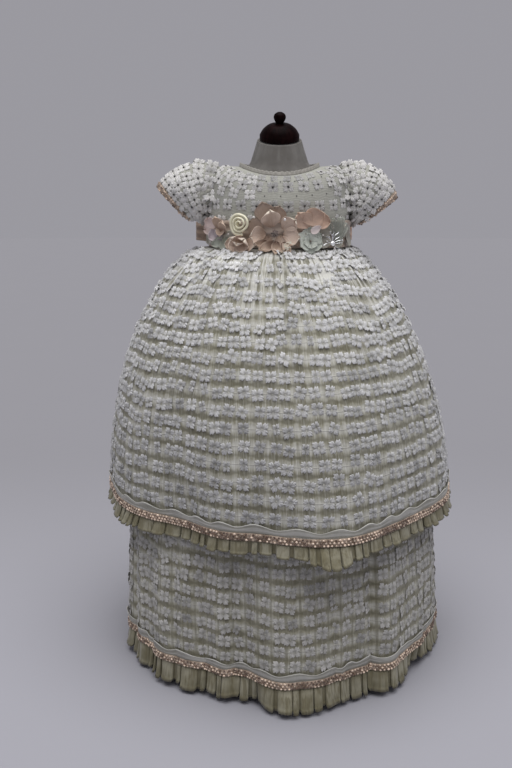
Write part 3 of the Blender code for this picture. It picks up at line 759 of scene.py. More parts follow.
def mapped_grid(surface, columns, rows, chart=lambda across, down: (across, down)):
    """A grid laid on surface(across, down), both 0 to 1, with its chart. Edges that meet are joined."""
    bm = bmesh.new()
    bmesh.ops.create_grid(bm, x_segments=columns, y_segments=rows, size=0.5)
    layer = bm.loops.layers.uv.new("UVMap")
    for face in bm.faces:
        for loop in face.loops:
            loop[layer].uv = chart(loop.vert.co.x + 0.5, 0.5 - loop.vert.co.y)
    for point in bm.verts:
        point.co = surface(point.co.x + 0.5, 0.5 - point.co.y)
    bmesh.ops.remove_doubles(bm, verts=bm.verts, dist=1e-6)
    return bm


def standing_on(surface, across, down, lift=0.0, size=(1, 1, 1), spin=0.0, lean=(0.0, 0.0)):
    """Sets a small shape on a surface: its X runs across, its Y up and its Z outwards."""
    step = 1e-3
    right = surface(across + step, down) - surface(across - step, down)
    below = surface(across, min(down + step, 1)) - surface(across, max(down - step, 0))
    out = below.cross(right).normalized()
    right.normalize()
    turned = Matrix((right, out.cross(right), out)).transposed().to_4x4()
    leaned = Matrix.Rotation(lean[0], 4, "X") @ Matrix.Rotation(lean[1], 4, "Y")
    place = Matrix.Translation(surface(across, down) + out * lift)
    return place @ turned @ leaned @ Matrix.Rotation(spin, 4, "Z") @ Matrix.Diagonal((*size, 1))


def moved_out(surface, across, down, distance):
    """The point of the surface, moved along its outward normal."""
    step = 1e-3
    right = surface(across + step, down) - surface(across - step, down)
    below = surface(across, min(down + step, 1)) - surface(across, max(down - step, 0))
    return surface(across, down) + below.cross(right).normalized() * distance


Placed = namedtuple("Placed", "matrix shade")


def scattered(name, template, places, finish, slot, solids=()):
    """One mesh of a small shape at many places. Each copy carries its own shade."""
    template.verts.index_update()
    layer = template.loops.layers.uv.verify()
    points = np.array([(*point.co, 1.0) for point in template.verts])
    faces = [[point.index for point in face.verts] for face in template.faces]
    chart = [loop[layer].uv[:] for face in template.faces for loop in face.loops]
    template.free()
    matrices = np.array([place.matrix for place in places])
    spread = np.einsum("mij,nj->mni", matrices, points)[:, :, :3].reshape(-1, 3)
    count = len(points)
    every_face = [[index + copy * count for index in face] for copy in range(len(places)) for face in faces]
    mesh = bpy.data.meshes.new(name)
    mesh.from_pydata(spread, [], every_face)
    charted = mesh.uv_layers.new(name="UVMap")
    charted.data.foreach_set("uv", np.tile(np.array(chart).ravel(), len(places)))
    shades = np.repeat([place.shade for place in places], count)
    mesh.attributes.new("shade", "FLOAT", "POINT").data.foreach_set("value", shades)
    return keep_piece(name, mesh, finish, slot, solids, sharp=75)


def flower_shape():
    """One woven flower: twelve plump petals, gathered by threes into four lobes set crosswise."""
    bm = bmesh.new()
    aside = {}
    corner_turn = Matrix.Rotation(radians(18), 3, "Z")
    for quarter in range(4):
        for spread, reach in ((-PETAL_SPREAD, SIDE_PETAL_REACH), (0, 1.0), (PETAL_SPREAD, SIDE_PETAL_REACH)):
            petal = bmesh.ops.create_cone(
                bm, cap_ends=True, segments=5, radius1=PETAL_LENGTH / 2, radius2=0, depth=PETAL_HEIGHT
            )["verts"]
            bmesh.ops.rotate(bm, verts=petal, matrix=corner_turn)
            for point in petal:
                apex = point.co.z > 0
                broad = PETAL_TIP_WIDTH if point.co.y < 0.2 * PETAL_LENGTH else PETAL_FOOT_WIDTH
                wide = PETAL_WIDTH / PETAL_LENGTH * broad
                ahead = -point.co.y * reach + (PETAL_LENGTH * 0.18 if apex else 0)
                point.co = Vector((point.co.x * wide, ahead, PETAL_HEIGHT * (0.8 + reach * 0.4) * apex))
                aside[point] = point.co.x / PETAL_WIDTH
            bmesh.ops.translate(bm, verts=petal, vec=(0, FLOWER_RADIUS * reach - PETAL_LENGTH / 2, 0))
            turn = radians(45 + 90 * quarter + spread)
            bmesh.ops.rotate(bm, verts=petal, matrix=Matrix.Rotation(turn, 3, "Z"))
    layer = bm.loops.layers.uv.new("UVMap")
    for face in bm.faces:
        for loop in face.loops:
            loop[layer].uv = (aside[loop.vert], loop.vert.co.xy.length / FLOWER_RADIUS)
    return bm


def bead_shape(radius, sides=7, rings=5, drawn=(1, 1, 1)):
    bm = bmesh.new()
    bmesh.ops.create_uvsphere(bm, u_segments=sides, v_segments=rings, radius=radius)
    bmesh.ops.scale(bm, vec=drawn, verts=bm.verts)
    return bm


def stone_shape(radius):
    """A cut stone: a table, a crown and a short skirt down to its setting."""
    bm = bmesh.new()
    bmesh.ops.create_cone(
        bm, cap_ends=True, segments=8, radius1=radius, radius2=radius * 0.55, depth=radius * 0.7
    )
    bmesh.ops.translate(bm, verts=bm.verts, vec=(0, 0, radius * 0.35))
    return bm


def tube(bm, route, radius, sides=6, steps=12):
    """Adds a round wire along route(share) to a bmesh, with closed ends."""
    rings = []
    for number in range(steps + 1):
        share = number / steps
        ahead = (route(min(share + 0.01, 1)) - route(max(share - 0.01, 0))).normalized()
        facing = ahead.to_track_quat("Z", "Y").to_matrix().to_4x4()
        place = Matrix.Translation(route(share)) @ facing
        ring = bmesh.ops.create_circle(bm, cap_ends=False, segments=sides, radius=radius, matrix=place)
        rings.append(ring["verts"])
    loops = [list({edge for point in ring for edge in point.link_edges}) for ring in rings]
    for lower, upper in zip(loops, loops[1:]):
        bmesh.ops.bridge_loops(bm, edges=lower + upper)
    bmesh.ops.holes_fill(bm, edges=loops[0] + loops[-1], sides=0)


# The skirts.


def folds_at(folds, angle):
    """How far the folds push a hem outwards at an angle."""
    return sum(fold.depth * nearness(angle, fold.angle, fold.width) for fold in folds)


def uneven_gathers(count, seed, rest):
    """Each gather's own depth and reach down the skirt, and the share of it that stays to the hem."""
    chance = random.Random(seed)
    return [
        Gather(
            GATHER_DEPTH * chance.uniform(0.45, 1.35),
            GATHER_REACH * chance.uniform(0.6, 1.6),
            rest * chance.uniform(0.2, 1.6),
        )
        for _ in range(count)
    ]


UPPER_GATHERS = uneven_gathers(UPPER_COLUMNS // 2, 5, UPPER_GATHER_REST)
LOWER_GATHERS = uneven_gathers(LOWER_GATHER_COUNT, 8, LOWER_GATHER_REST)


def gather_push(gathers, angle, down):
    """Rounded ridges with sharp valleys, which fade down the skirt."""
    turn = radians(angle)
    place = angle / 360 * len(gathers) + 0.11 * sin(5 * turn + 1) + 0.09 * sin(9 * turn)
    first = floor(place)
    share = place - first
    one, other = gathers[first % len(gathers)], gathers[(first + 1) % len(gathers)]
    depth = mixed_number(one.depth, other.depth, eased(share))
    reach = mixed_number(one.reach, other.reach, eased(share))
    rest = mixed_number(one.rest, other.rest, eased(share))
    ridge = 2 * abs(cos(pi * share)) ** 0.8 - 0.9
    grown = 0.45 + 0.55 * eased(down / 0.07)
    return depth * ridge * grown * (exp(-((down / reach) ** 2)) + rest)


def crease_push(creases, angle, down):
    """How far the sharp creases draw the cloth in."""
    push = 0.0
    for crease in creases:
        if abs(degrees_apart(angle, crease.angle)) < 3 * crease.width and crease.start < down < crease.end:
            share = (down - crease.start) / (crease.end - crease.start)
            push -= crease.depth * nearness(angle, crease.angle, crease.width) * sin(pi * share**0.7)
    return push


def skirt_surface(skirt, folds, gathers, creases):
    """The skirt's outer face as a function of an angle and how far down it is."""

    def surface(angle, down):
        turn = radians(angle)
        swell = sin(pi / 2 * down)
        push = folds_at(folds, angle) * down**2
        if gathers:
            push += gather_push(gathers, angle, down)
        push += crease_push(creases, angle, down)
        push += 0.0011 * noise.noise(Vector((3 * sin(turn), 3 * cos(turn), 5 * down + skirt.hem))) * down
        wide = skirt.half_width + (skirt.hem_radius - skirt.half_width) * swell + push
        deep = skirt.half_depth + (skirt.hem_radius - skirt.half_depth) * swell + push
        height = skirt.top - (skirt.top - skirt.hem) * down**1.5
        sideways = skirt.swing * down**2 - skirt.lean * sin(pi * sqrt(down))
        return Vector((wide * sin(turn) + sideways, -deep * cos(turn), height))

    return surface


def skirt_down(skirt, height):
    """How far down a skirt a height is, from 0 at the waist to 1 at the hem."""
    return max((skirt.top - height) / (skirt.top - skirt.hem), 0) ** (2 / 3)


class Rows:
    """Counts a skirt's rows of flowers, which run parallel to its hem, from the hem up."""

    STEPS = 240

    def __init__(self, skirt, pitch):
        self.pitch = pitch
        plain = skirt_surface(skirt, [], [], [])
        self.downs = [1 - step / self.STEPS for step in range(self.STEPS + 1)]
        self.ups = [1 - down for down in self.downs]
        points = [plain(30, down) for down in self.downs]
        runs = [(after - before).length for before, after in zip(points, points[1:])]
        self.lengths = np.concatenate([[0], np.cumsum(runs)])

    def length(self):
        return float(self.lengths[-1])

    def row(self, down):
        return float(np.interp(1 - down, self.ups, self.lengths)) / self.pitch

    def down(self, row):
        return float(np.interp(row * self.pitch, self.lengths, self.downs))


def hidden_by_fold(bares, angle, down, chance):
    """Whether a flower is folded out of sight here."""
    for bare in bares:
        if abs(degrees_apart(angle, bare.angle)) < bare.half_angle and bare.start < down < bare.end:
            return chance.random() < bare.share
    return False


# A skirt's lace: its columns, the pitch of its rows, how far down the top row is, how plump its flowers are,
# where they are folded out of sight, and its two finishes.
Lace = namedtuple("Lace", "columns pitch start plump bares ground thread")


def flower_places(surface, rows, lace):
    """Where each of a skirt's flowers goes, from its angle, and how bright it is."""
    chance = random.Random(lace.columns)
    columns = lace.columns
    pitch = 360 / columns

    def by_share(across, down):
        return surface(across * 360, down)

    places = []
    for column in range(-(columns // 4), columns - columns // 4):
        angle = (column + 0.5) * pitch
        row = FIRST_ROW
        while rows.down(row) > lace.start:
            turn = radians(angle)
            sway = noise.noise(Vector((4.5 * sin(turn), 4.5 * cos(turn), row * 0.35)))
            shift = noise.noise(Vector((9 * sin(turn) + 7, 9 * cos(turn), row * 0.22)))
            settled = min(1, (row - FIRST_ROW) / 2)
            down = rows.down(row + ROW_SWAY * sway * settled + chance.uniform(-0.08, 0.08))
            row += 1
            if hidden_by_fold(lace.bares, angle, down, chance):
                continue
            at = (angle + (COLUMN_SHIFT * shift + chance.uniform(-0.12, 0.12)) * pitch) / 360
            local = (by_share(at + pitch / 720, down) - by_share(at - pitch / 720, down)).xy.length
            squeeze = min(1, local / FLOWER_ACROSS)
            size = chance.uniform(0.94, 1.18)
            crowd = 1 - squeeze
            width = size * max(0.90, squeeze**0.25) * (1 if chance.random() > 0.10 else 0.66)
            tall = size * (1.0 + 0.22 * crowd)
            puffed = chance.uniform(0.8, 1.4) * (1 + 0.3 * crowd) * lace.plump
            lean = (chance.gauss(-0.05, 0.08 + 0.05 * crowd), chance.gauss(0, 0.10 + 0.10 * crowd))
            spin = chance.gauss(0, 0.20 + 0.15 * crowd)
            lift = 0.0003 + 0.0012 * crowd * chance.random()
            shade = chance.uniform(0.86, 1.04) * (1 if chance.random() > 0.14 else 0.80)
            # Painted light: flowers grow brighter towards the waist, where more light falls from above.
            shade *= 0.91 + 0.54 * (1 - down) ** 1.3
            matrix = standing_on(by_share, at, down, lift, (width, tall, puffed), spin, lean)
            places.append((angle, Placed(matrix, shade)))
    return places


def build_skirt(name, skirt, folds, gathers, creases, lace, grid_columns, grid_rows):
    """The two panels of a skirt and the flowers woven on each. It returns the surface that trims lie on."""
    surface = skirt_surface(skirt, folds, gathers, creases)
    rows = Rows(skirt, lace.pitch)
    columns = lace.columns
    edge = 0.6 * SEAM_GAP / skirt.half_width * 180 / pi
    places = flower_places(surface, rows, lace)
    for panel, middle in (("front", 0), ("back", 180)):

        def panel_surface(across, down, middle=middle):
            return surface(middle + (across - 0.5) * (180 - 2 * edge), down)

        def chart(across, down, middle=middle):
            angle = middle + (across - 0.5) * 180
            return angle / 360 * columns - 0.5, rows.row(down) - FIRST_ROW % 1

        bm = mapped_grid(panel_surface, grid_columns // 2, grid_rows, chart)
        node = f"{name}_{panel}"
        cloth = add_piece(f"{node}_cloth", bm, lace.ground, "skirt_lace", [node])
        add_wall(cloth, LACE_WALL)
        on_panel = [place for angle, place in places if abs(degrees_apart(angle, middle)) < 90]
        flowers = scattered(f"{node}_flowers", flower_shape(), on_panel, lace.thread, "skirt_lace")
        width = columns / 2 * FLOWER_ACROSS
    return surface


# The trims at a hem.


def build_ribbon(name, skirt, surface, seed):
    """Sheer ribbon that stands above the braid, its free edge waved."""
    chance = random.Random(seed)
    waves = [chance.uniform(0.5, 1.3) for _ in range(9)]
    top = skirt_down(skirt, skirt.hem + RIBBON_TO)
    bottom = skirt_down(skirt, skirt.hem + BRAID_TO - 0.001)
    count = 34

    def ribbon(across, down):
        turn = 2 * pi * across
        size = sum(wave * sin((number + 2) * turn + wave * 9) for number, wave in enumerate(waves)) / 4
        wave = sin(count * turn + 3 * size)
        free = (1 - down) ** 1.3
        rise = (bottom - top) * (0.20 * wave + 0.14 * size - 0.20) * free
        lift = LAY_GAP + RIBBON_WALL + free * (0.0012 + 0.0011 * wave + 0.0008 * size)
        return moved_out(by_share, across, top + (bottom - top) * down - rise, lift)

    def by_share(across, down):
        return surface(across * 360 - 180, down)

    bm = mapped_grid(ribbon, 14 * count, 4, lambda across, down: (across * count, down))
    piece = add_wall(add_piece(f"{name}_cloth", bm, "hem_ribbon", "organza_ribbon", [name]), ORGANZA)
    flat = (2 * pi * skirt.hem_radius * 1.1, RIBBON_TO - BRAID_TO + 0.002)


def build_braid(name, skirt, surface, seed):
    """The braid: a woven band, a dark cord looped along it, and gold and brown beads in the loops."""
    chance = random.Random(seed)
    top = skirt_down(skirt, skirt.hem + BRAID_TO)
    bottom = skirt_down(skirt, skirt.hem + BRAID_FROM)
    loops = round(2 * pi * skirt.hem_radius / BEAD_PITCH)

    def by_share(across, down):
        return surface(across * 360 - 180, top + (bottom - top) * down)

    def band(across, down):
        swell = 0.0006 * sin(pi * down)
        return moved_out(by_share, across, down, LAY_GAP + 0.0011 + swell)

    bm = mapped_grid(band, 4 * loops, 5, lambda across, down: (across * loops, down))
    add_wall(add_piece(f"{name}_band", bm, "braid_web", "beaded_braid", [name]), BRAID_WEB)

    def cord(across, down):
        around = 2 * pi * down
        height = 0.5 + 0.26 * sin(2 * pi * across * loops)
        lift = LAY_GAP + 0.0020 + 0.0004 * sin(around) + 0.0003 * cos(2 * pi * across * loops)
        return moved_out(by_share, across, min(max(height + 0.045 * cos(around), 0.02), 0.98), lift)

    bm = mapped_grid(cord, 10 * loops, 5, lambda across, down: (across, down))
    add_shade(add_piece(f"{name}_cord", bm, "braid_cord", "beaded_braid", (), 80), 0.9)

    gold, brown = [], []
    stretch = [chance.uniform(-1, 1) for _ in range(26)]
    for bead in range(3 * loops):
        mood = stretch[int(bead / (3 * loops) * len(stretch))]
        for down in (0.16, 0.50, 0.84):
            at = (bead + (0.5 if down == 0.5 else 0) + chance.uniform(-0.1, 0.1)) / (3 * loops)
            golden = mood + chance.uniform(-0.9, 0.9) > (0.25 if down < 0.4 else -0.20)
            size = chance.uniform(0.75, 1.1)
            matrix = standing_on(by_share, at, down, LAY_GAP + 0.0019, (size * 1.2, size, size * 0.8))
            (gold if golden else brown).append(Placed(matrix, chance.uniform(0.45, 1.25)))
    scattered(f"{name}_gold_beads", bead_shape(0.0014), gold, "gold_beads", "beaded_braid")
    scattered(f"{name}_brown_beads", bead_shape(0.0012), brown, "brown_beads", "beaded_braid")


PleatPoint = namedtuple("PleatPoint", "along out")


def pleated_path(length, seed):
    """The ruffle's path seen from above: uneven box pleats, whose ends fold back into a narrow recess."""
    chance = random.Random(seed)
    pleats = []
    while sum(width + recess for width, recess in pleats) < length:
        width = chance.choice([0.0065, 0.0095, 0.0130, 0.0160, 0.0210]) * chance.uniform(0.9, 1.1)
        pleats.append((width, chance.choice([0.0007, 0.0010, 0.0020, 0.0045])))
    scale = length / sum(width + recess for width, recess in pleats)
    path, start = [], 0.0
    for width, recess in pleats:
        width *= scale
        recess *= scale
        under = min(0.0030, 0.28 * width)
        end = start + width
        path.append(PleatPoint(start, 0.0000))
        for rib in range(9):
            share = 0.07 + 0.86 * rib / 8
            soft = 0.00045 * (-1) ** rib * chance.uniform(0.2, 1.2)
            path.append(PleatPoint(start + share * width, 0.0014 + 0.0010 * sin(pi * share) + soft))
        path += [
            PleatPoint(end, 0.0000),
            PleatPoint(end - under, -0.0008),
            PleatPoint(end - under, -0.0013),
            PleatPoint(end + recess / 2, -0.0016),
            PleatPoint(end + recess + under, -0.0013),
            PleatPoint(end + recess + under, -0.0008),
        ]
        start = end + recess
    return path, len(pleats)


def build_ruffle(name, skirt, surface, reach, flips, seed):
    """A strip of voile in uneven flat pleats, sewn under a hem."""
    length = 2 * pi * skirt.hem_radius
    path, pleats = pleated_path(length, seed)
    per_pleat = len(path) // pleats
    chance = random.Random(seed + 1)
    flares = [chance.uniform(-0.0016, 0.0012) for _ in range(pleats)]
    drops = [reach * chance.uniform(-0.13, 0.05) for _ in range(pleats)]
    joined = [*path, PleatPoint(path[0].along + length, path[0].out)]

    def ruffle(across, down):
        place = across * (len(joined) - 1)
        first = min(floor(place), len(joined) - 2)
        share = place - first
        along = mixed_number(joined[first].along, joined[first + 1].along, share)
        out = mixed_number(joined[first].out, joined[first + 1].out, share)
        pleat = floor(place / per_pleat) % pleats
        angle = along / length * 360 - 180
        turn = radians(angle)
        near = [nearness(angle, flip.angle, flip.width) for flip in flips]
        flipped = sum(flip.outwards * one for flip, one in zip(flips, near))
        lowered = sum(flip.down * one for flip, one in zip(flips, near))
        point = surface(angle, 1)
        hem_curl = 0.0010 * max(0, down - 0.8) / 0.2
        push = (RUFFLE_FLARE - 0.0015 + flipped + flares[pleat]) * down
        push += out * (0.35 + 0.95 * down) + hem_curl
        point += Vector((sin(turn), -cos(turn), 0)) * (push - VOILE)
        longer = -0.03 * reach if out > 0.0012 else -0.10 * reach
        point.z -= SEAM_GAP + (reach + lowered + drops[pleat] + longer) * down
        return point

    def chart(across, down):
        """How far forward this fold is, 0 in the recesses and 1 on the faces, and how far down."""
        point = joined[min(round(across * (len(joined) - 1)), len(joined) - 1)]
        return eased((point.out + 0.0016) / 0.0034), down

    bm = mapped_grid(ruffle, len(joined) - 1, 7, chart)
    piece = add_wall(add_piece(f"{name}_cloth", bm, "ruffle_voile", "ruffle_voile", [name], 50), VOILE)
    run = sum(hypot(end.along - start.along, end.out - start.out) for start, end in zip(joined, joined[1:]))


# The bodice, its sleeves and its neck.


def bodice_point(angle, place):
    """A point of the bodice's outer face. Place runs from 0 at the waist seam to the neckline's row."""
    ring = between(BODICE, place)
    across, forward = sin(radians(angle)), cos(radians(angle))
    depth = ring.front_depth if forward > 0 else ring.back_depth
    middle_height = ring.front_height if forward > 0 else ring.back_height
    return Vector(
        (
            ring.half_width * power(across, BODICE_ROUNDNESS),
            -depth * power(forward, BODICE_ROUNDNESS),
            ring.side_height + (middle_height - ring.side_height) * forward**2,
        )
    )


def bodice_place(angle, height):
    """The place on the bodice where it has this height, found by halving."""
    low, high = 0, NECKLINE
    for _ in range(20):
        middle = (low + high) / 2
        if bodice_point(angle, middle).z < height:
            low = middle
        else:
            high = middle
    return low


def armhole_half_angle(place):
    middle, half = (ARMHOLE_LOW + ARMHOLE_HIGH) / 2, (ARMHOLE_HIGH - ARMHOLE_LOW) / 2
    return ARMHOLE_HALF_ANGLE * sqrt(max(0, 1 - ((place - middle) / half) ** 2))


def bodice_rows():
    """Places of the bodice's grid rows: even below and above the armhole, and crowded at its two ends."""
    middle, half = (ARMHOLE_LOW + ARMHOLE_HIGH) / 2, (ARMHOLE_HIGH - ARMHOLE_LOW) / 2
    below = [ARMHOLE_LOW * step / 8 for step in range(8)]
    beside = [middle - half * cos(pi * step / 24) for step in range(25)]
    above = [ARMHOLE_HIGH + (NECKLINE - ARMHOLE_HIGH) * step / 5 for step in range(1, 6)]
    return below + beside + above


# Rows are places in the table of the bodice's rings.
BODICE_FLOWER_COLUMNS = 26
BODICE_FLOWER_SIZE = 1.06
BODICE_FLOWER_ROWS = [2.62, 4.05, 5.25]
BODICE_DOT_ROWS = [2.02, 3.32, 4.72]
BODICE_SIDE_ROWS = [1.75, 3.36, 4.70]


def wrinkled_bodice(angle, place):
    """The bodice with the soft puckers that its seams and the pull of the sleeves leave."""
    point = bodice_point(angle, place)
    turn = radians(angle)
    pull = exp(-((abs(abs(angle) - 62) / 22) ** 2)) * sin(place * 3.1 + 2)
    pucker = 0.0006 * sin(36 * turn + 2 * sin(5 * turn)) * exp(-((place / 1.6) ** 2))
    push = pucker + 0.0007 * pull + 0.0006 * noise.noise(point * 55)
    return point + Vector((sin(turn), -cos(turn), 0)) * push


def build_bodice():
    """A front and two backs of close lace, and their flowers, many with a stone in the middle."""
    places = bodice_rows()
    rows = len(places) - 1
    gap = 0.75 * SEAM_GAP / 0.05 * 180 / pi
    for name, start, end, columns in (
        ("bodice_front", -90, 90, 72),
        ("bodice_back_right", 90, 180, 36),
        ("bodice_back_left", 180, 270, 36),
    ):

        def edges(place, start=start, end=end):
            hole = armhole_half_angle(place)
            return start + gap + (hole if start % 180 else 0), end - gap - (hole if end % 180 else 0)

        def surface(across, down, edges=edges):
            place = places[round((1 - down) * rows)]
            first, last = edges(place)
            return wrinkled_bodice(first + (last - first) * across, place)

        def chart(across, down, edges=edges):
            place = places[round((1 - down) * rows)]
            first, last = edges(place)
            return (first + (last - first) * across) / 360 * BODICE_FLOWER_COLUMNS, place

        bm = mapped_grid(surface, columns, rows, chart)
        cloth = add_wall(add_piece(f"{name}_cloth", bm, "bodice_lace", "bodice_lace", [name]), LACE_WALL)
    flowers, stones = bodice_flowers()


def even_angles(count, shift):
    """Angles that part the bodice's girth into equal lengths, from the centre front."""
    fine = [degrees / 2 for degrees in range(-360, 361)]
    points = [bodice_point(angle, 3) for angle in fine]
    runs = np.cumsum([0.0, *[(after - before).length for before, after in zip(points, points[1:])]])
    shares = [((column + shift) / count) % 1 for column in range(count)]
    return [float(np.interp(share * runs[-1], runs, fine)) for share in shares]


def clear_of_openings(angle, place, margin):
    """Whether a flower here keeps off the armholes and the centre-back opening."""
    return abs(abs(angle) - 90) > armhole_half_angle(place) + margin and abs(angle) < 174


def bodice_flowers():
    """The bodice's flatter flowers, and the dark stones in the middle of those that have one."""
    chance = random.Random(31)
    flowers, stones = [], []

    def by_share(across, down):
        return wrinkled_bodice(across * 360, NECKLINE * (1 - down))

    for row, place in enumerate(BODICE_FLOWER_ROWS):
        for angle in even_angles(BODICE_FLOWER_COLUMNS, 0.5):
            if clear_of_openings(angle, place, 6):
                down = 1 - place / NECKLINE + chance.uniform(-0.006, 0.006)
                at = angle / 360
                size = BODICE_FLOWER_SIZE * chance.uniform(0.94, 1.04) * (1, 1, 0.72)[row]
                lean = (chance.gauss(0, 0.05), chance.gauss(0, 0.06))
                flat = (size, size, (0.72, 0.45, 0.5)[row])
                matrix = standing_on(by_share, at, down, 0.0001, flat, chance.gauss(0, 0.10), lean)
                paler = 0.68 + 0.50 * abs(sin(radians(angle))) ** 1.1
                flowers.append(Placed(matrix, chance.uniform(0.90, 1.0) * paler))
                matrix = standing_on(by_share, at, down, 0.0005, (1, 1, 1), chance.uniform(0, 1))
                if row < 2 or abs(angle) > 40:
                    stones.append(Placed(matrix, chance.uniform(0.4, 1.6)))
    for place in BODICE_SIDE_ROWS:
        for angle in even_angles(BODICE_FLOWER_COLUMNS, 0.0):
            if clear_of_openings(angle, place, 6) and (angle < -14 or angle > 38):
                size = BODICE_FLOWER_SIZE * chance.uniform(0.90, 1.04)
                flat = (size, size * 0.9, 0.6)
                at = angle / 360 + chance.uniform(-0.003, 0.003)
                down = 1 - place / NECKLINE
                matrix = standing_on(by_share, at, down, 0.0001, flat, chance.gauss(0, 0.2))
                paler = 1.14 if angle < 0 else 0.94
                flowers.append(Placed(matrix, chance.uniform(0.98, 1.10) * paler))
    for place in BODICE_DOT_ROWS:
        for angle in even_angles(BODICE_FLOWER_COLUMNS, 0.0):
            if clear_of_openings(angle, place, 3):
                down = 1 - place / NECKLINE
                matrix = standing_on(by_share, angle / 360, down, 0.0001, (0.6, 0.6, 0.6))
                stones.append(Placed(matrix, chance.uniform(0.6, 1.8)))
    blossom = scattered("bodice_flowers", flower_shape(), flowers, "bodice_thread", "bodice_lace")
    gems = scattered("bodice_stones", stone_shape(0.00135), stones, "rhinestones", "bodice_lace")
    return blossom, gems


def build_neck_binding():
    """A narrow standing edge of organza round the neckline, finely waved, open at the centre back."""
    gap = 2 * SEAM_GAP / 0.046 * 180 / pi

    def surface(across, down):
        angle = -180 + gap + (360 - 2 * gap) * across
        point = wrinkled_bodice(angle, NECKLINE)
        rise = 1 - down
        wave = sin(2 * pi * across * 58) * rise
        inwards = 1 - 0.03 * rise + 0.006 * wave
        lift = SEAM_GAP + NECK_BINDING_HEIGHT * rise + 0.0004 * wave
        return Vector((point.x * inwards, point.y * inwards, point.z + lift))

    bm = mapped_grid(surface, 348, 4)
    piece = add_piece("neck_binding_cloth", bm, "neck_organza", "organza_ribbon", ["neck_binding"])
    add_wall(piece, BOUND_ORGANZA)


def build_buttons():
    """Pearl buttons down the centre back, each on a short shank."""
    for number in (1, 2, 3):
        node = f"back_button_{number}"
        low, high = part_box(node)
        middle = (low + high) / 2
        bm = bead_shape(BUTTON_RADIUS, 28, 16, (1, 0.6, 1))
        shank = bmesh.ops.create_cone(
            bm, cap_ends=True, segments=12, radius1=0.0012, radius2=0.0016, depth=0.002
        )["verts"]
        bmesh.ops.rotate(bm, verts=shank, matrix=Matrix.Rotation(radians(-90), 3, "X"))
        bmesh.ops.translate(bm, verts=shank, vec=(0, -0.6 * BUTTON_RADIUS, 0))
        bmesh.ops.translate(bm, verts=bm.verts, vec=middle)
        add_piece(f"{node}_pearl", bm, "pearl", "pearl", [node])


def sleeve_ring_point(side, number, turn):
    """A point of one of the sleeve's rings: ring 0 is the armhole, and turn starts at its top."""
    if number == 0:
        middle, half = (ARMHOLE_LOW + ARMHOLE_HIGH) / 2, (ARMHOLE_HIGH - ARMHOLE_LOW) / 2
        place = middle + half * cos(turn)
        point = bodice_point(90 - ARMHOLE_HALF_ANGLE * sin(turn), place)
        return Vector((side * (point.x + 1.5 * SEAM_GAP), point.y, point.z))
    ring = SLEEVE[number - 1]
    droop = SLEEVE_DROOP[side] * (number / len(SLEEVE)) ** 2
    tilt = radians(ring.tilt + 10 * droop)
    outwards = ring.outwards - 0.0085 * droop + ring.half_tall * cos(turn) * sin(tilt)
    height = ring.height - 0.0085 * droop + ring.half_tall * cos(turn) * cos(tilt)
    return Vector((side * outwards, -ring.half_deep * sin(turn), height))


Point = namedtuple("Point", "x y z")
SLEEVE_GATHERS = 30
SLEEVE_FLOWER_COLUMNS = 14
SLEEVE_FLOWER_ROWS = [0.10, 0.27, 0.44, 0.61, 0.78]
SLEEVE_STONE_SHARE = 0.68


def sleeve_surface(side):
    """A puffed sleeve's outer face, gathered at the armhole and at the cuff."""

    def surface(across, down):
        turn = -side * 2 * pi * across
        rings = [Point(*sleeve_ring_point(side, number, turn)) for number in range(len(SLEEVE) + 1)]
        point = Vector(between(rings, down * len(SLEEVE)))
        ring = rings[min(int(down * len(SLEEVE) + 0.5), len(SLEEVE))]
        middle = Vector((point.x, 0, SLEEVE[1].height))
        out = (Vector(ring) - middle).normalized()
        uneven = 1 + 0.45 * sin(3 * turn + 1) + 0.25 * sin(7 * turn)
        ridge = 2 * abs(cos(turn * SLEEVE_GATHERS / 2 + 0.6 * sin(4 * turn))) ** 0.8 - 1
        ends = exp(-((down / 0.26) ** 2)) * eased(down / 0.06) + 0.9 * exp(-(((1 - down) / 0.24) ** 2))
        soft = 0.0008 * noise.noise(Vector((4 * sin(turn), 4 * cos(turn), 5 * down + side)))
        return point + out * (0.0012 * ridge * uneven * ends + soft)

    return surface


def build_sleeve(side, word):
    """A sleeve, its flowers and stones, and the beaded braid on its cuff."""
    surface = sleeve_surface(side)

    def chart(across, down):
        return across * SLEEVE_FLOWER_COLUMNS, down * 4

    bm = mapped_grid(surface, 180, 28, chart)
    node = f"sleeve_{word}"
    cloth = add_wall(add_piece(f"{node}_cloth", bm, "bodice_lace", "bodice_lace", [node]), LACE_WALL)
    chance = random.Random(40 + side)
    flowers, stones = [], []
    for row, down in enumerate(SLEEVE_FLOWER_ROWS):
        for column in range(SLEEVE_FLOWER_COLUMNS):
            at = (column + 0.5 * (row % 2) + chance.uniform(-0.05, 0.05)) / SLEEVE_FLOWER_COLUMNS
            size = BODICE_FLOWER_SIZE * chance.uniform(1.08, 1.24)
            lean = (chance.gauss(0, 0.08), chance.gauss(0, 0.10))
            place = down + chance.uniform(-0.02, 0.02)
            flat = (size, size * 0.92, 0.9)
            matrix = standing_on(surface, at, place, 0.0002, flat, chance.gauss(0, 0.12), lean)
            # Painted light: the sleeves' flowers are brightened beyond the bodice's, for light falling on the
            # puffed sleeves.
            flowers.append(Placed(matrix, chance.uniform(1.08, 1.24)))
            if chance.random() < SLEEVE_STONE_SHARE:
                matrix = standing_on(surface, at, place, 0.0009)
                stones.append(Placed(matrix, chance.uniform(0.4, 1.6)))
    blossom = scattered(f"{node}_flowers", flower_shape(), flowers, "bodice_thread", "bodice_lace")
    gems = scattered(f"{node}_stones", stone_shape(0.00135), stones, "rhinestones", "bodice_lace")
    build_cuff_braid(surface, side, word)


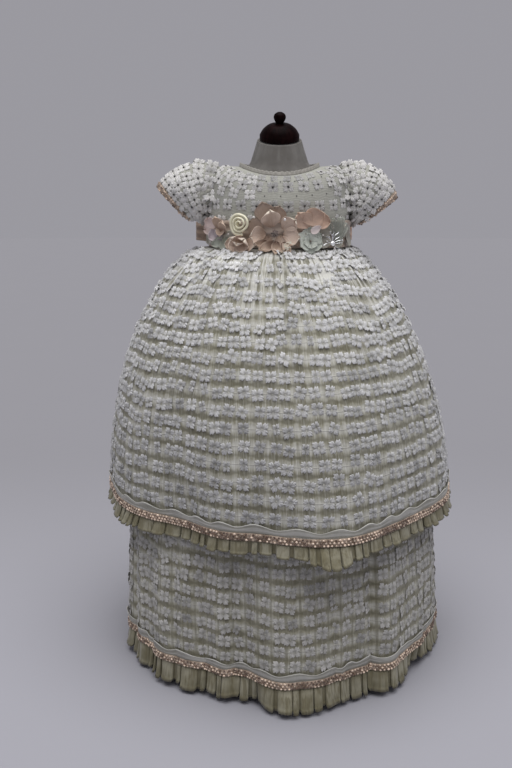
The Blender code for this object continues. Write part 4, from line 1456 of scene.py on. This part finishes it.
def build_cuff_braid(surface, side, word):
    """The cuff's braid: a woven band with a row of beads along each edge."""
    chance = random.Random(50 + side)
    node = f"sleeve_braid_{word}"

    def band(across, down):
        along = 1 - CUFF_BRAID_SHARE * (1 - down)
        return moved_out(surface, across, along, SEAM_GAP + 0.0013 + 0.0006 * sin(pi * down))

    bm = mapped_grid(band, 144, 4, lambda across, down: (across * 16, down))
    add_wall(add_piece(f"{node}_band", bm, "braid_web", "beaded_braid", [node]), BRAID_WEB)
    gold, brown = [], []
    count = 48
    for bead in range(count):
        for down in (0.2, 0.8):
            matrix = standing_on(band, (bead + down) / count, down, 0.0002, (0.8, 0.8, 0.8))
            (gold if chance.random() < 0.62 else brown).append(Placed(matrix, chance.uniform(0.5, 1.2)))
    scattered(f"{node}_gold_beads", bead_shape(0.0014), gold, "gold_beads", "beaded_braid")
    scattered(f"{node}_brown_beads", bead_shape(0.0014), brown, "brown_beads", "beaded_braid")


# The belt, its bow and its flowers.


def belt_point(angle, height, lift):
    """A point over the belt's line on the bodice, and the level outward direction there."""
    step = 0.5
    place = bodice_place(angle, min(max(height, BELT_LOW), BELT_HIGH))
    along = bodice_point(angle + step, place) - bodice_point(angle - step, place)
    outwards = along.cross(Vector((0, 0, 1))).normalized()
    point = bodice_point(angle, place) + outwards * lift
    return Vector((point.x, point.y, height)), outwards


def build_belt():
    """The satin band, drawn into soft level folds."""

    def surface(across, down):
        angle = across * 360 - 180
        height = BELT_HIGH + (BELT_LOW - BELT_HIGH) * down
        turn = radians(angle)
        fold = sin(down * 2 * pi * 3.2 + 1.3 * sin(3 * turn) + 0.6 * sin(7 * turn))
        wrinkle = noise.noise(Vector((6 * sin(turn), 6 * cos(turn), 30 * down)))
        return belt_point(angle, height, LAY_GAP + SATIN_WALL + 0.0007 * fold + 0.0006 * wrinkle)[0]

    bm = mapped_grid(surface, 192, 20)
    piece = add_wall(add_piece("belt_band_cloth", bm, "belt_satin", "peach_satin", ["belt_band"]), BAND_SATIN)


def build_bow():
    """The knot, two loops and two tails of organza ribbon that close the belt at the centre back."""

    def knot(across, down):
        turn = 2 * pi * across
        side = 2 * down - 1
        barrel = 1 - 0.16 * side**2
        groove = 1 + 0.055 * sin(9 * down * pi + 0.8 * sin(turn))
        return Vector(
            (
                -side * KNOT_HALF_SIZE.x,
                BOW_BEHIND + KNOT_HALF_SIZE.y * barrel * groove * cos(turn),
                BOW_HEIGHT + KNOT_HALF_SIZE.z * barrel * groove * sin(turn),
            )
        )

    bm = mapped_grid(knot, 48, 22)
    piece = add_piece("bow_knot_cloth", bm, "peach_satin", "peach_satin", ["bow_knot"])
    add_wall(piece, KNOTTED_SATIN)
    for loop in BOW_LOOPS:
        build_bow_loop(loop)
    for tail in BOW_TAILS:
        build_bow_tail(tail)


def build_bow_loop(loop):
    """A flattened loop of ribbon, which starts at the knot and bends forwards at its far end."""
    word = "left" if loop.side < 0 else "right"
    start = KNOT_HALF_SIZE.x + 2 * SEAM_GAP
    finish, slot = ("brown_organza",) * 2 if loop.side < 0 else ("peach_organza", "peach_satin")

    def surface(across, down):
        turn = 2 * pi * across
        share = (1 - cos(turn)) / 2
        outwards = start + (loop.reach - start) * share
        thick = loop.half_thickness * sin(turn) * (0.35 + 0.65 * share)
        tall = loop.half_tall * (0.62 + 0.38 * sin(pi / 2 * min(1, 2 * share))) * (1 - 0.30 * share**5)
        crease = 0.0016 * sin(down * 2 * pi * 2.5 + 2 * share + loop.side) * (1 - 0.55 * share)
        edge = 0.0009 * sin(share * 17 + loop.side) * (2 * down - 1)
        return Vector(
            (
                loop.side * outwards,
                BOW_BEHIND + 0.002 - 0.016 * share**2 - loop.side * (thick + crease),
                BOW_HEIGHT + tall * (1 - 2 * down) + edge,
            )
        )

    bm = mapped_grid(surface, 96, 16)
    node = f"bow_loop_{word}"
    piece = add_wall(add_piece(f"{node}_cloth", bm, finish, slot, [node]), ORGANZA)
    2 * loop.reach
    2 * loop.half_tall * 1.05


TAIL_START_ANGLE = 7.5
TAIL_START = 0.06


def build_bow_tail(tail):
    """A tail that hangs from the knot and lies on the skirt, with a swallow-tail cut at its end."""
    word = "left" if tail.side < 0 else "right"
    skirt = skirt_surface(UPPER_SKIRT, UPPER_FOLDS, UPPER_GATHERS, UPPER_CREASES)

    def by_share(across, down):
        return skirt(across * 360, down)

    def surface(across, down):
        sideways = tail.side * (TAIL_START_ANGLE + (tail.lean - TAIL_START_ANGLE) * down)
        cut = 0.05 * (1 - abs(2 * across - 1)) * max(0, down - 0.8) / 0.2
        on_skirt = TAIL_START + (tail.length_share - TAIL_START) * down - cut
        radius = 0.07 + 0.15 * on_skirt
        width = tail.width / radius * 180 / pi * (0.55 + 0.45 * min(1, 2 * down))
        angle = 180 - sideways + (across - 0.5) * width
        ripple = 0.0010 * sin(2 * pi * (2.2 * across + 0.6 * down)) * (1.2 - down)
        return moved_out(by_share, angle / 360, on_skirt, 0.0048 + ripple)

    bm = mapped_grid(surface, 16, 64)
    node = f"bow_tail_{word}"
    piece = add_wall(add_piece(f"{node}_cloth", bm, "peach_organza", "peach_satin", [node]), ORGANZA)


Bloom = namedtuple("Bloom", "angle height lift tilt")
BLOOMS = {
    "satin_rose": Bloom(-27.5, 0.5565, 0.0058, 0),
    "poppy": Bloom(-3.0, 0.5455, 0.0070, 4),
    "brown_petals": Bloom(1.5, 0.5325, 0.0100, 10),
    "grey_green_flower": Bloom(19.6, 0.5360, 0.0048, 12),
    "stamen_spray": Bloom(38, 0.5330, 0.0075, 8),
    "tulle_tuft": Bloom(47, 0.5450, 0.0010, 4),
}

Petal = namedtuple("Petal", "length width cup curl ruffle point")


def petal_shape(petal, seed, columns=14, rows=11):
    """One petal: its foot at the origin, its length along +Y, its face to +Z."""
    chance = random.Random(seed)
    phase = chance.uniform(0, 6)
    beats = chance.uniform(1.6, 3.0)
    sideways = chance.uniform(-0.12, 0.12)

    def surface(across, down):
        side = 2 * across - 1
        out = 1 - down
        fill = sin(pi * min(out, 0.999) ** petal.point) ** 0.55 if out > 0 else 0
        half = petal.width / 2 * max(fill, 0.10)
        wave = sin(beats * side * pi + phase) * out**2
        edge = max(abs(side), out**2) ** 4
        height = petal.cup * side**2 * (0.4 + 0.6 * out) + petal.curl * out**2.5
        bent = sideways * petal.length * out**2
        ahead = petal.length * out * (1 - 0.10 * side**2)
        return Vector((side * half + bent, ahead, height + petal.ruffle * wave * edge))

    return mapped_grid(surface, columns, rows, lambda across, down: (across, 1 - down))


def bloom_frame(bloom, forward=0.0):
    """Local X to the right, Y up and Z out of the belt, at the bloom's middle."""
    at, outwards = belt_point(bloom.angle, bloom.height, LAY_GAP + SATIN_WALL + bloom.lift + forward)
    facing = outwards.to_track_quat("Z", "Y").to_matrix().to_4x4()
    return Matrix.Translation(at) @ facing @ Matrix.Rotation(-radians(bloom.tilt), 4, "X")


Whorl = namedtuple("Whorl", "count start radius rise pitch petal")


def join_shapes(shapes):
    """One bmesh from many, which are freed."""
    whole = bmesh.new()
    mesh = bpy.data.meshes.new("joined")
    for shape in shapes:
        shape.to_mesh(mesh)
        shape.free()
        whole.from_mesh(mesh)
    bpy.data.meshes.remove(mesh)
    return whole


def whorled_petals(whorls, seed):
    """Petals set round in whorls, each leaned back by its pitch in degrees."""
    chance = random.Random(seed)
    shapes = []
    for number, whorl in enumerate(whorls):
        for step in range(whorl.count):
            shape = petal_shape(whorl.petal, seed * 31 + number * 7 + step)
            turn = radians(whorl.start + 360 * step / whorl.count + chance.uniform(-7, 7))
            pitch = radians(whorl.pitch + chance.uniform(-7, 7))
            size = chance.uniform(0.9, 1.08)
            place = (
                Matrix.Rotation(turn, 4, "Z")
                @ Matrix.Translation((0, whorl.radius, whorl.rise))
                @ Matrix.Rotation(pitch, 4, "X")
                @ Matrix.Diagonal((size, size, size, 1))
            )
            bmesh.ops.transform(shape, matrix=place, verts=shape.verts)
            shapes.append(shape)
    return join_shapes(shapes)


def declare_cut(flat, area):
    """Works out the area of the strip that a flower's petals were cut from, one strip as wide as all of them
    side by side; the result is not kept.
    """
    room = flat[0] * flat[1]
    min(max(area, 0.31 * room), 0.98 * room)


def add_bloom(name, bm, finish, slot, solids, flat):
    area = sum(face.calc_area() for face in bm.faces)
    piece = add_wall(add_piece(name, bm, finish, slot, solids), PETAL_CLOTH)
    declare_cut(flat, area)
    return piece


ROSE_TURNS = 2.8
ROSE_MIDDLE_RADIUS = 0.0062
ROSE_STRIP_WIDTH = 0.0115


def build_rose():
    """A rose rolled from one satin strip: its free edge folds outwards over each turn."""
    run = 2 * pi * ROSE_TURNS * ROSE_MIDDLE_RADIUS
    strip = (run * 1.7, ROSE_STRIP_WIDTH)

    def surface(across, down):
        around = 2 * pi * ROSE_TURNS * across
        rise = 1 - down
        foot = 0.0010 + 0.0092 * across + 0.0005 * sin(3 * around + 1) * across
        rolled = 0.0044 * (0.30 + 0.70 * across) * rise**1.7
        top = 0.0078 - 0.0040 * across + 0.0004 * sin(5 * around)
        height = top * sin(pi / 2 * min(1.12 * rise, 1)) - 0.0014 * max(0, rise - 0.80) / 0.20
        radius = foot + rolled
        return Vector((radius * cos(around), radius * sin(around), 0.0002 + height))

    bm = mapped_grid(surface, 132, 9)
    bmesh.ops.transform(bm, matrix=bloom_frame(BLOOMS["satin_rose"]), verts=bm.verts)
    add_bloom("satin_rose_cloth", bm, "cream_satin", "cream_satin", ["satin_rose"], strip)


SetPetal = namedtuple("SetPetal", "angle height lift turn pitch petal")
Cluster = namedtuple("Cluster", "name finish slot solids petals")

# Each cluster of petals that are sewn on one by one. A petal is placed by its angle and height on the belt.
CLUSTERS = [
    Cluster("poppy_backing", "brown_organza", "brown_organza", [], [
        SetPetal(-10.0, 0.5700, 0.0028, 14, 3, Petal(0.0250, 0.0240, 0.0010, 0.0008, 0.0010, 1.25)),
        SetPetal(-2.0, 0.5670, 0.0022, -18, 3, Petal(0.0230, 0.0230, 0.0010, 0.0008, 0.0010, 1.25)),
        SetPetal(-17.0, 0.5520, 0.0020, 60, 3, Petal(0.0210, 0.0220, 0.0010, 0.0008, 0.0010, 1.25)),
        SetPetal(12.0, 0.5400, 0.0020, -80, 3, Petal(0.0230, 0.0230, 0.0010, 0.0008, 0.0010, 1.25)),
    ]),
    Cluster("poppy_cloth", "dusty_pink_cloth", "dusty_pink_cloth", ["poppy"], [
        SetPetal(-14.5, 0.5445, 0.0060, 92, 16, Petal(0.0200, 0.0200, 0.0035, 0.0020, 0.0010, 1.25)),
        SetPetal(-6.0, 0.5630, 0.0068, 14, 18, Petal(0.0225, 0.0235, 0.0042, 0.0040, 0.0014, 1.25)),
        SetPetal(4.5, 0.5570, 0.0058, -48, 14, Petal(0.0200, 0.0205, 0.0036, 0.0030, 0.0012, 1.25)),
        SetPetal(6.5, 0.5430, 0.0066, -92, 16, Petal(0.0215, 0.0225, 0.0036, 0.0026, 0.0014, 1.25)),
        SetPetal(0.5, 0.5325, 0.0058, 196, 16, Petal(0.0210, 0.0225, 0.0036, 0.0026, 0.0014, 1.25)),
        SetPetal(-9.0, 0.5325, 0.0056, 148, 14, Petal(0.0205, 0.0220, 0.0036, 0.0026, 0.0014, 1.25)),
    ]),
    Cluster("brown_petals_cloth", "brown_petal", "brown_organza", ["brown_petals"], [
        SetPetal(-8.5, 0.5290, 0.0095, 118, 24, Petal(0.0230, 0.0120, 0.0034, 0.0030, 0.0008, 0.90)),
        SetPetal(-3.0, 0.5275, 0.0095, 165, 26, Petal(0.0190, 0.0110, 0.0030, 0.0030, 0.0008, 0.90)),
        SetPetal(3.5, 0.5280, 0.0090, 222, 22, Petal(0.0180, 0.0110, 0.0030, 0.0026, 0.0008, 0.90)),
        SetPetal(-12.0, 0.5330, 0.0090, 96, 20, Petal(0.0180, 0.0100, 0.0030, 0.0026, 0.0008, 0.90)),
    ]),
    Cluster("dusty_rose_petals_cloth", "dusty_pink_cloth", "dusty_pink_cloth", ["dusty_rose_petals"], [
        SetPetal(-36.0, 0.5340, 0.0050, 78, 14, Petal(0.0170, 0.0165, 0.0032, 0.0024, 0.0010, 1.25)),
        SetPetal(-20.0, 0.5315, 0.0064, -104, 20, Petal(0.0180, 0.0165, 0.0034, 0.0030, 0.0010, 1.25)),
        SetPetal(-27.0, 0.5285, 0.0064, 178, 22, Petal(0.0165, 0.0190, 0.0034, 0.0030, 0.0010, 1.25)),
        SetPetal(-33.0, 0.5290, 0.0060, 140, 20, Petal(0.0160, 0.0170, 0.0034, 0.0028, 0.0010, 1.25)),
        SetPetal(-31.5, 0.5380, 0.0082, 46, 34, Petal(0.0150, 0.0175, 0.0040, 0.0030, 0.0008, 1.25)),
        SetPetal(-24.5, 0.5370, 0.0088, -34, 38, Petal(0.0150, 0.0170, 0.0040, 0.0030, 0.0008, 1.25)),
        SetPetal(-28.5, 0.5335, 0.0100, 170, 48, Petal(0.0125, 0.0150, 0.0040, 0.0020, 0.0006, 1.25)),
    ]),
    Cluster("small_brown_flower_cloth", "brown_petal", "brown_organza", ["small_brown_flower"], [
        SetPetal(-47.0, 0.5570, 0.0060, 22, 12, Petal(0.0200, 0.0140, 0.0032, 0.0020, 0.0008, 1.25)),
        SetPetal(-43.0, 0.5520, 0.0070, -14, 18, Petal(0.0185, 0.0130, 0.0032, 0.0020, 0.0008, 1.25)),
        SetPetal(-46.5, 0.5480, 0.0060, 168, 14, Petal(0.0150, 0.0130, 0.0030, 0.0018, 0.0008, 1.25)),
    ]),
    Cluster("organza_petal_pink_cloth", "pink_organza", "peach_satin", ["organza_petal_pink"], [
        SetPetal(-60.0, 0.5575, 0.0048, 40, 10, Petal(0.0170, 0.0160, 0.0030, 0.0016, 0.0010, 1.20)),
        SetPetal(-68.0, 0.5500, 0.0034, 104, 6, Petal(0.0160, 0.0150, 0.0026, 0.0014, 0.0010, 1.20)),
    ]),
    Cluster("lilac_petal_cloth", "lilac_cloth", "lilac_cloth", ["lilac_petal"], [
        SetPetal(-57.0, 0.5425, 0.0050, 118, 10, Petal(0.0150, 0.0140, 0.0026, 0.0014, 0.0008, 1.20)),
        SetPetal(-50.0, 0.5430, 0.0040, 30, 6, Petal(0.0140, 0.0130, 0.0026, 0.0014, 0.0008, 1.20)),
    ]),
    Cluster("pale_leaf_cloth", "leaf_cloth", "grey_green_cloth", ["pale_leaf"], [
        SetPetal(-52.0, 0.5340, 0.0044, 104, 12, Petal(0.0190, 0.0120, 0.0026, 0.0012, 0.0006, 1.00)),
        SetPetal(-44.0, 0.5320, 0.0042, 150, 10, Petal(0.0170, 0.0110, 0.0026, 0.0012, 0.0006, 1.00)),
    ]),
    Cluster("organza_petal_peach_cloth", "peach_organza", "peach_satin", ["organza_petal_peach"], [
        SetPetal(14.0, 0.5615, 0.0060, 34, 8, Petal(0.0230, 0.0240, 0.0034, 0.0020, 0.0016, 1.20)),
        SetPetal(21.5, 0.5650, 0.0072, -64, 10, Petal(0.0270, 0.0225, 0.0034, 0.0024, 0.0016, 1.20)),
        SetPetal(29.0, 0.5590, 0.0050, -96, 6, Petal(0.0200, 0.0180, 0.0030, 0.0020, 0.0012, 1.20)),
    ]),
    Cluster("belt_backing", "backing_cloth", "grey_green_cloth", [], [
        SetPetal(34.0, 0.5500, 0.0020, -80, 3, Petal(0.0210, 0.0200, 0.0012, 0.0010, 0.0010, 1.25)),
        SetPetal(33.0, 0.5350, 0.0020, -110, 3, Petal(0.0210, 0.0180, 0.0012, 0.0010, 0.0010, 1.25)),
        SetPetal(48.0, 0.5370, 0.0020, -150, 3, Petal(0.0200, 0.0190, 0.0012, 0.0010, 0.0010, 1.25)),
        SetPetal(60.0, 0.5480, 0.0020, 20, 3, Petal(0.0200, 0.0180, 0.0012, 0.0010, 0.0010, 1.25)),
        SetPetal(66.0, 0.5370, 0.0020, 160, 3, Petal(0.0180, 0.0170, 0.0012, 0.0010, 0.0010, 1.25)),
        SetPetal(-40.0, 0.5400, 0.0020, 60, 3, Petal(0.0200, 0.0190, 0.0012, 0.0010, 0.0010, 1.25)),
        SetPetal(-70.0, 0.5400, 0.0020, 150, 3, Petal(0.0200, 0.0180, 0.0012, 0.0010, 0.0010, 1.25)),
    ]),
    Cluster("satin_petal_white_cloth", "white_satin", "white_satin", ["satin_petal_white"], [
        SetPetal(23.5, 0.5495, 0.0092, -64, 22, Petal(0.0140, 0.0090, 0.0020, -0.0010, 0.0004, 0.85)),
    ]),
]


NARROWEST_STRIP = 0.0102


def build_clusters():
    """The petals that are sewn on one by one, each leaned forward at its tip."""
    for cluster in CLUSTERS:
        shapes = []
        for number, single in enumerate(cluster.petals):
            shape = petal_shape(single.petal, 13 * len(cluster.name) + number, 18, 15)
            place = (
                bloom_frame(Bloom(single.angle, single.height, single.lift, 0))
                @ Matrix.Rotation(radians(single.turn), 4, "Z")
                @ Matrix.Rotation(radians(single.pitch), 4, "X")
                @ Matrix.Translation((0, -single.petal.length / 2, 0))
            )
            bmesh.ops.transform(shape, matrix=place, verts=shape.verts)
            shapes.append(shape)
        wide = max(sum(single.petal.width for single in cluster.petals), NARROWEST_STRIP)
        long = max(single.petal.length for single in cluster.petals)
        whole = join_shapes(shapes)
        add_bloom(cluster.name, whole, cluster.finish, cluster.slot, cluster.solids, (wide, long))


def build_green_flower():
    """Six flat crinkled petals, five short ones in front of them and a dark bead in the middle."""
    whorls = [
        Whorl(6, 0, 0.0014, 0.0004, 9, Petal(0.0150, 0.0185, 0.0012, -0.0004, 0.0016, 1.35)),
        Whorl(5, 30, 0.0008, 0.0014, 16, Petal(0.0092, 0.0120, 0.0014, -0.0002, 0.0012, 1.35)),
    ]
    node = "grey_green_flower"
    bm = whorled_petals(whorls, 29)
    bmesh.ops.transform(bm, matrix=bloom_frame(BLOOMS[node]), verts=bm.verts)
    add_bloom(f"{node}_cloth", bm, "grey_green_cloth", "grey_green_cloth", [node], (0.171, 0.0156))
    face = bloom_frame(BLOOMS[node], 0.0034)
    scattered(f"{node}_heart", bead_shape(0.0013, 10, 8), [Placed(face, 1.0)], "heart_beads", "pearl")


def build_poppy_heart():
    """A knot of dark beads in the middle of the poppy."""
    chance = random.Random(9)
    face = bloom_frame(BLOOMS["poppy"], 0.0030)
    beads = []
    for bead in range(22):
        turn, far = 2.4 * bead, 0.0009 * sqrt(bead)
        at = Matrix.Translation((far * cos(turn), far * sin(turn), 0.0010 - 40 * far * far))
        beads.append(Placed(face @ at, chance.uniform(0.5, 1.8)))
    scattered("poppy_heart", bead_shape(0.0011, 8, 6), beads, "heart_beads", "pearl")


def build_stamens(name, node, turns, reach, finish, slot, seed):
    """Thin wires that spring from a flower's heart at these turns, with a bead on each tip."""
    chance = random.Random(seed)
    face = bloom_frame(BLOOMS[node], 0.001)
    wires = bmesh.new()
    beads = []
    for degrees in turns:
        turn = radians(degrees + chance.uniform(-8, 8))
        far = reach * chance.uniform(0.7, 1.1)
        rise = 0.0026 + chance.uniform(0, 0.0022)
        bend = chance.uniform(-0.0030, 0.0030)
        aim = Vector((cos(turn), sin(turn), 0))
        aside = Vector((-sin(turn), cos(turn), 0))

        def route(share, aim=aim, aside=aside, far=far, rise=rise, bend=bend):
            out = Vector((0, 0, rise * sin(pi * 0.62 * share)))
            return aim * far * share + aside * bend * sin(pi * share) + out

        tube(wires, route, 0.00030, 5, 8)
        beads.append(Placed(face @ Matrix.Translation(route(1)), chance.uniform(0.8, 1.1)))
    bmesh.ops.transform(wires, matrix=face, verts=wires.verts)
    add_shade(add_piece(name, wires, finish, slot), 1.0)
    scattered(f"{name}_tips", bead_shape(0.0008, 8, 6), beads, finish, slot)


def build_tulle():
    """A tuft of tulle: a strip pleated like a fan and sewn down at its foot."""

    def surface(across, down):
        out = 1 - down
        spread = radians(mixed_number(-52, 52, across))
        radius = 0.003 + 0.031 * out * (1 + 0.07 * sin(11 * across) + 0.04 * sin(29 * across))
        pleat = 0.0016 * sin(2 * pi * 9 * across + 2 * out) * (0.3 + 0.7 * out)
        height = 0.0018 + pleat + 0.002 * out
        return Vector((radius * sin(spread) * 0.62, radius * cos(spread) - 0.0150, height))

    bm = mapped_grid(surface, 96, 12)
    bmesh.ops.transform(bm, matrix=bloom_frame(BLOOMS["tulle_tuft"]), verts=bm.verts)
    name = "tulle_tuft_cloth"
    add_bloom(name, bm, "grey_green_tulle", "grey_green_cloth", ["tulle_tuft"], (0.050, 0.031))


def build_spray():
    """White wires with beads on their tips, curled up and round from one bright cut stone."""
    node = "stamen_spray"
    turns = [-40, 0, 20, 40, 60, 78, 95, 112, 128, 146, 165, 190]
    build_stamens("silver_stamens", node, turns, 0.0135, "silver_beads", "white_satin", 61)
    bm = bmesh.new()
    bmesh.ops.create_cone(bm, cap_ends=True, segments=12, radius1=0.0022, radius2=0.0030, depth=0.0010)
    crown = bmesh.ops.create_cone(
        bm, cap_ends=True, segments=12, radius1=0.0029, radius2=0.0016, depth=0.0013
    )["verts"]
    bmesh.ops.translate(bm, verts=crown, vec=(0, 0, 0.0012))
    face = bloom_frame(BLOOMS[node], 0.0026)
    bmesh.ops.transform(bm, matrix=face, verts=bm.verts)
    add_shade(add_piece(f"{node}_stone", bm, "silver_beads", "white_satin", [node], 20), 1.2)


def build_pearls():
    """Loose pearls sewn among the flowers."""
    places = []
    for angle, height, lift, size in (
        (-17, 0.5640, 0.0090, 0.9),
        (2, 0.5615, 0.0120, 1.1),
        (9, 0.5520, 0.0100, 0.7),
        (-39, 0.5440, 0.0080, 0.7),
        (30, 0.5430, 0.0085, 0.7),
        (43, 0.5270, 0.0070, 0.8),
    ):
        at = belt_point(angle, height, lift)[0]
        places.append(Placed(Matrix.Translation(at) @ Matrix.Scale(size, 4), 1.0))
    scattered("belt_pearls", bead_shape(0.0016, 16, 10), places, "pearl", "pearl")


def build_belt_flowers():
    build_rose()
    build_clusters()
    build_green_flower()
    build_poppy_heart()
    fan = range(-80, 30, 12)
    build_stamens("poppy_stamens", "brown_petals", fan, 0.0105, "stamen_wire", "cream_satin", 5)
    build_tulle()
    build_spray()
    build_pearls()


# The dress form.


def neck_slant(point):
    """Lowers the front of what is near the neck's top, so that its cap faces forwards."""
    share = min(max((point.z - NECK_FOOT) / (NECK_TOP - NECK_FOOT), 0), 1)
    return Vector((point.x, point.y, point.z + point.y * tan(NECK_SLANT) * share))


def build_torso():
    """The padded torso and neck, in one tube of jersey closed above and below."""
    last = len(TORSO) - 1
    places = [last, *[last - 1 - step / 6 for step in range(6 * (last - 2) + 1)], 0]

    def surface(across, down):
        ring = between(TORSO[1:-1], places[round(down * (len(places) - 1))] - 1)
        if down in (0, 1):
            ring = TORSO[-1] if down == 0 else TORSO[0]
        turn = 2 * pi * across
        return neck_slant(Vector((ring.half_width * sin(turn), -ring.half_depth * cos(turn), ring.height)))

    bm = mapped_grid(surface, 96, len(places) - 1)
    add_piece("form_torso_jersey", bm, "jersey", "jersey", ["form_torso"])


def turned_piece(name, node, outline, base=Vector(), slant=0.0):
    """A turned piece: its outline from top to bottom, spun about its axis."""
    bm = bmesh.new()
    points = [bm.verts.new((point.radius, 0, point.height)) for point in outline]
    edges = [bm.edges.new(pair) for pair in zip(points, points[1:])]
    bmesh.ops.spin(
        bm, geom=points + edges, axis=(0, 0, 1), cent=(0, 0, 0), angle=2 * pi, steps=64, use_merge=True
    )
    bmesh.ops.remove_doubles(bm, verts=bm.verts, dist=1e-6)
    bmesh.ops.recalc_face_normals(bm, faces=bm.faces)
    place = Matrix.Translation(base) @ Matrix.Rotation(slant, 4, "X")
    bmesh.ops.transform(bm, matrix=place, verts=bm.verts)
    return add_piece(name, bm, "dark_wood", "dark_wood", [node])


def smooth_outline(points, steps=5):
    last = len(points) - 1
    return [between(points, step / steps) for step in range(last * steps + 1)]


def build_form():
    """The dress form that carries the gown."""
    build_torso()
    up = Vector((0, -sin(NECK_SLANT), cos(NECK_SLANT)))
    top = Vector((0, 0, NECK_TOP))
    cap = [Turned(0, CAP[0].height), *smooth_outline(CAP), CAP_EDGE, Turned(0, CAP_EDGE.height)]
    turned_piece("neck_cap_wood", "neck_cap", cap, top, NECK_SLANT)
    knob = [Turned(0, KNOB[0].height), *smooth_outline(KNOB), KNOB_NECK, Turned(0, KNOB_NECK.height)]
    turned_piece("cap_knob_wood", "cap_knob", knob, top + up * CAP[0].height, NECK_SLANT)
    low, high = (corner.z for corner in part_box("pole"))
    pole = [Turned(0, high), Turned(POLE_RADIUS, high)]
    for share in (0.36, 0.33, 0.30):
        middle = mixed_number(low, high, share)
        bead = [Turned(POLE_RADIUS, middle + 0.002), Turned(POLE_RADIUS * 0.88, middle)]
        pole += [*bead, Turned(POLE_RADIUS, middle - 0.002)]
    pole += [Turned(POLE_RADIUS, low), Turned(0, low)]
    turned_piece("pole_wood", "pole", pole)
    shoulder = [
        Turned(BASE_RADIUS - 0.006 * cos(radians(turn)), BASE_HEIGHT - 0.005 * (1 - cos(radians(turn))))
        for turn in range(0, 91, 15)
    ]
    base = [Turned(0, BASE_HEIGHT), Turned(BASE_RADIUS - 0.030, BASE_HEIGHT), *shoulder]
    base += [Turned(BASE_RADIUS, 0.001), Turned(BASE_RADIUS - 0.001, 0), Turned(0, 0)]
    turned_piece("base_wood", "base", base)


# The studio.


ROOM_LIGHT = (0.325, 0.320, 0.350)
LIGHT_TOWARD = Vector((0.03, -0.20, 1.0))
LIGHT_STRENGTH = 2.75
LIGHT_SPREAD = radians(60)
CAMERA_PLACE = (-0.029, -1.09, 0.580)
CAMERA_TILT = radians(78)
CAMERA_LENS = 39.84
CAMERA_SENSOR = 36


def build_studio():
    """A pale floor, soft light from above and a little in front, and the camera."""
    bm = bmesh.new()
    bmesh.ops.create_circle(bm, cap_ends=True, segments=64, radius=14.0)
    mesh = bpy.data.meshes.new("studio_floor")
    bm.to_mesh(mesh)
    bm.free()
    mesh.materials.append(studio_floor())
    floor_piece = bpy.data.objects.new("studio_floor", mesh)
    bpy.context.scene.collection.objects.link(floor_piece)

    world = bpy.data.worlds.new("studio")
    world.use_nodes = True
    world.node_tree.nodes["Background"].inputs["Color"].default_value = (*ROOM_LIGHT, 1)
    bpy.context.scene.world = world

    light = bpy.data.lights.new("overhead", "SUN")
    light.energy = LIGHT_STRENGTH
    light.angle = LIGHT_SPREAD
    lamp = bpy.data.objects.new("overhead", light)
    lamp.rotation_euler = LIGHT_TOWARD.to_track_quat("Z", "Y").to_euler()
    bpy.context.scene.collection.objects.link(lamp)

    camera = bpy.data.cameras.new("camera")
    camera.lens = CAMERA_LENS
    camera.sensor_width = CAMERA_SENSOR
    holder = bpy.data.objects.new("camera", camera)
    holder.location = CAMERA_PLACE
    holder.rotation_euler = (CAMERA_TILT, 0, 0)
    bpy.context.scene.collection.objects.link(holder)
    bpy.context.scene.camera = holder
    bpy.context.scene.view_settings.view_transform = "Standard"


def build_gown():
    build_bodice()
    build_neck_binding()
    build_buttons()
    build_sleeve(-1, "left")
    build_sleeve(1, "right")
    build_belt()
    build_bow()
    build_belt_flowers()
    lace = Lace(UPPER_COLUMNS, UPPER_FLOWER_DOWN, 0.012, 1.0, UPPER_BARE, "skirt_lace", "skirt_thread")
    upper = build_skirt("upper_skirt", UPPER_SKIRT, UPPER_FOLDS, UPPER_GATHERS, UPPER_CREASES, lace, 420, 64)
    top_row = skirt_down(LOWER_SKIRT, LACE_VISIBLE_UNDER + LACE_HIDDEN_MARGIN)
    lace = Lace(LOWER_COLUMNS, LOWER_FLOWER_DOWN, top_row, 0.6, [], "lower_lace", "lower_thread")
    lower = build_skirt("lower_skirt", LOWER_SKIRT, LOWER_FOLDS, LOWER_GATHERS, LOWER_CREASES, lace, 360, 44)
    for name, skirt, surface, reach, flips, seed in (
        ("upper", UPPER_SKIRT, upper, UPPER_RUFFLE_REACH, UPPER_RUFFLE_FLIPS, 71),
        ("lower", LOWER_SKIRT, lower, LOWER_RUFFLE_REACH, LOWER_RUFFLE_FLIPS, 83),
    ):
        build_ruffle(f"{name}_ruffle", skirt, surface, reach, flips, seed)
        build_braid(f"{name}_braid", skirt, surface, seed + 1)
        build_ribbon(f"{name}_ribbon", skirt, surface, seed + 2)


build_form()
build_gown()
build_studio()
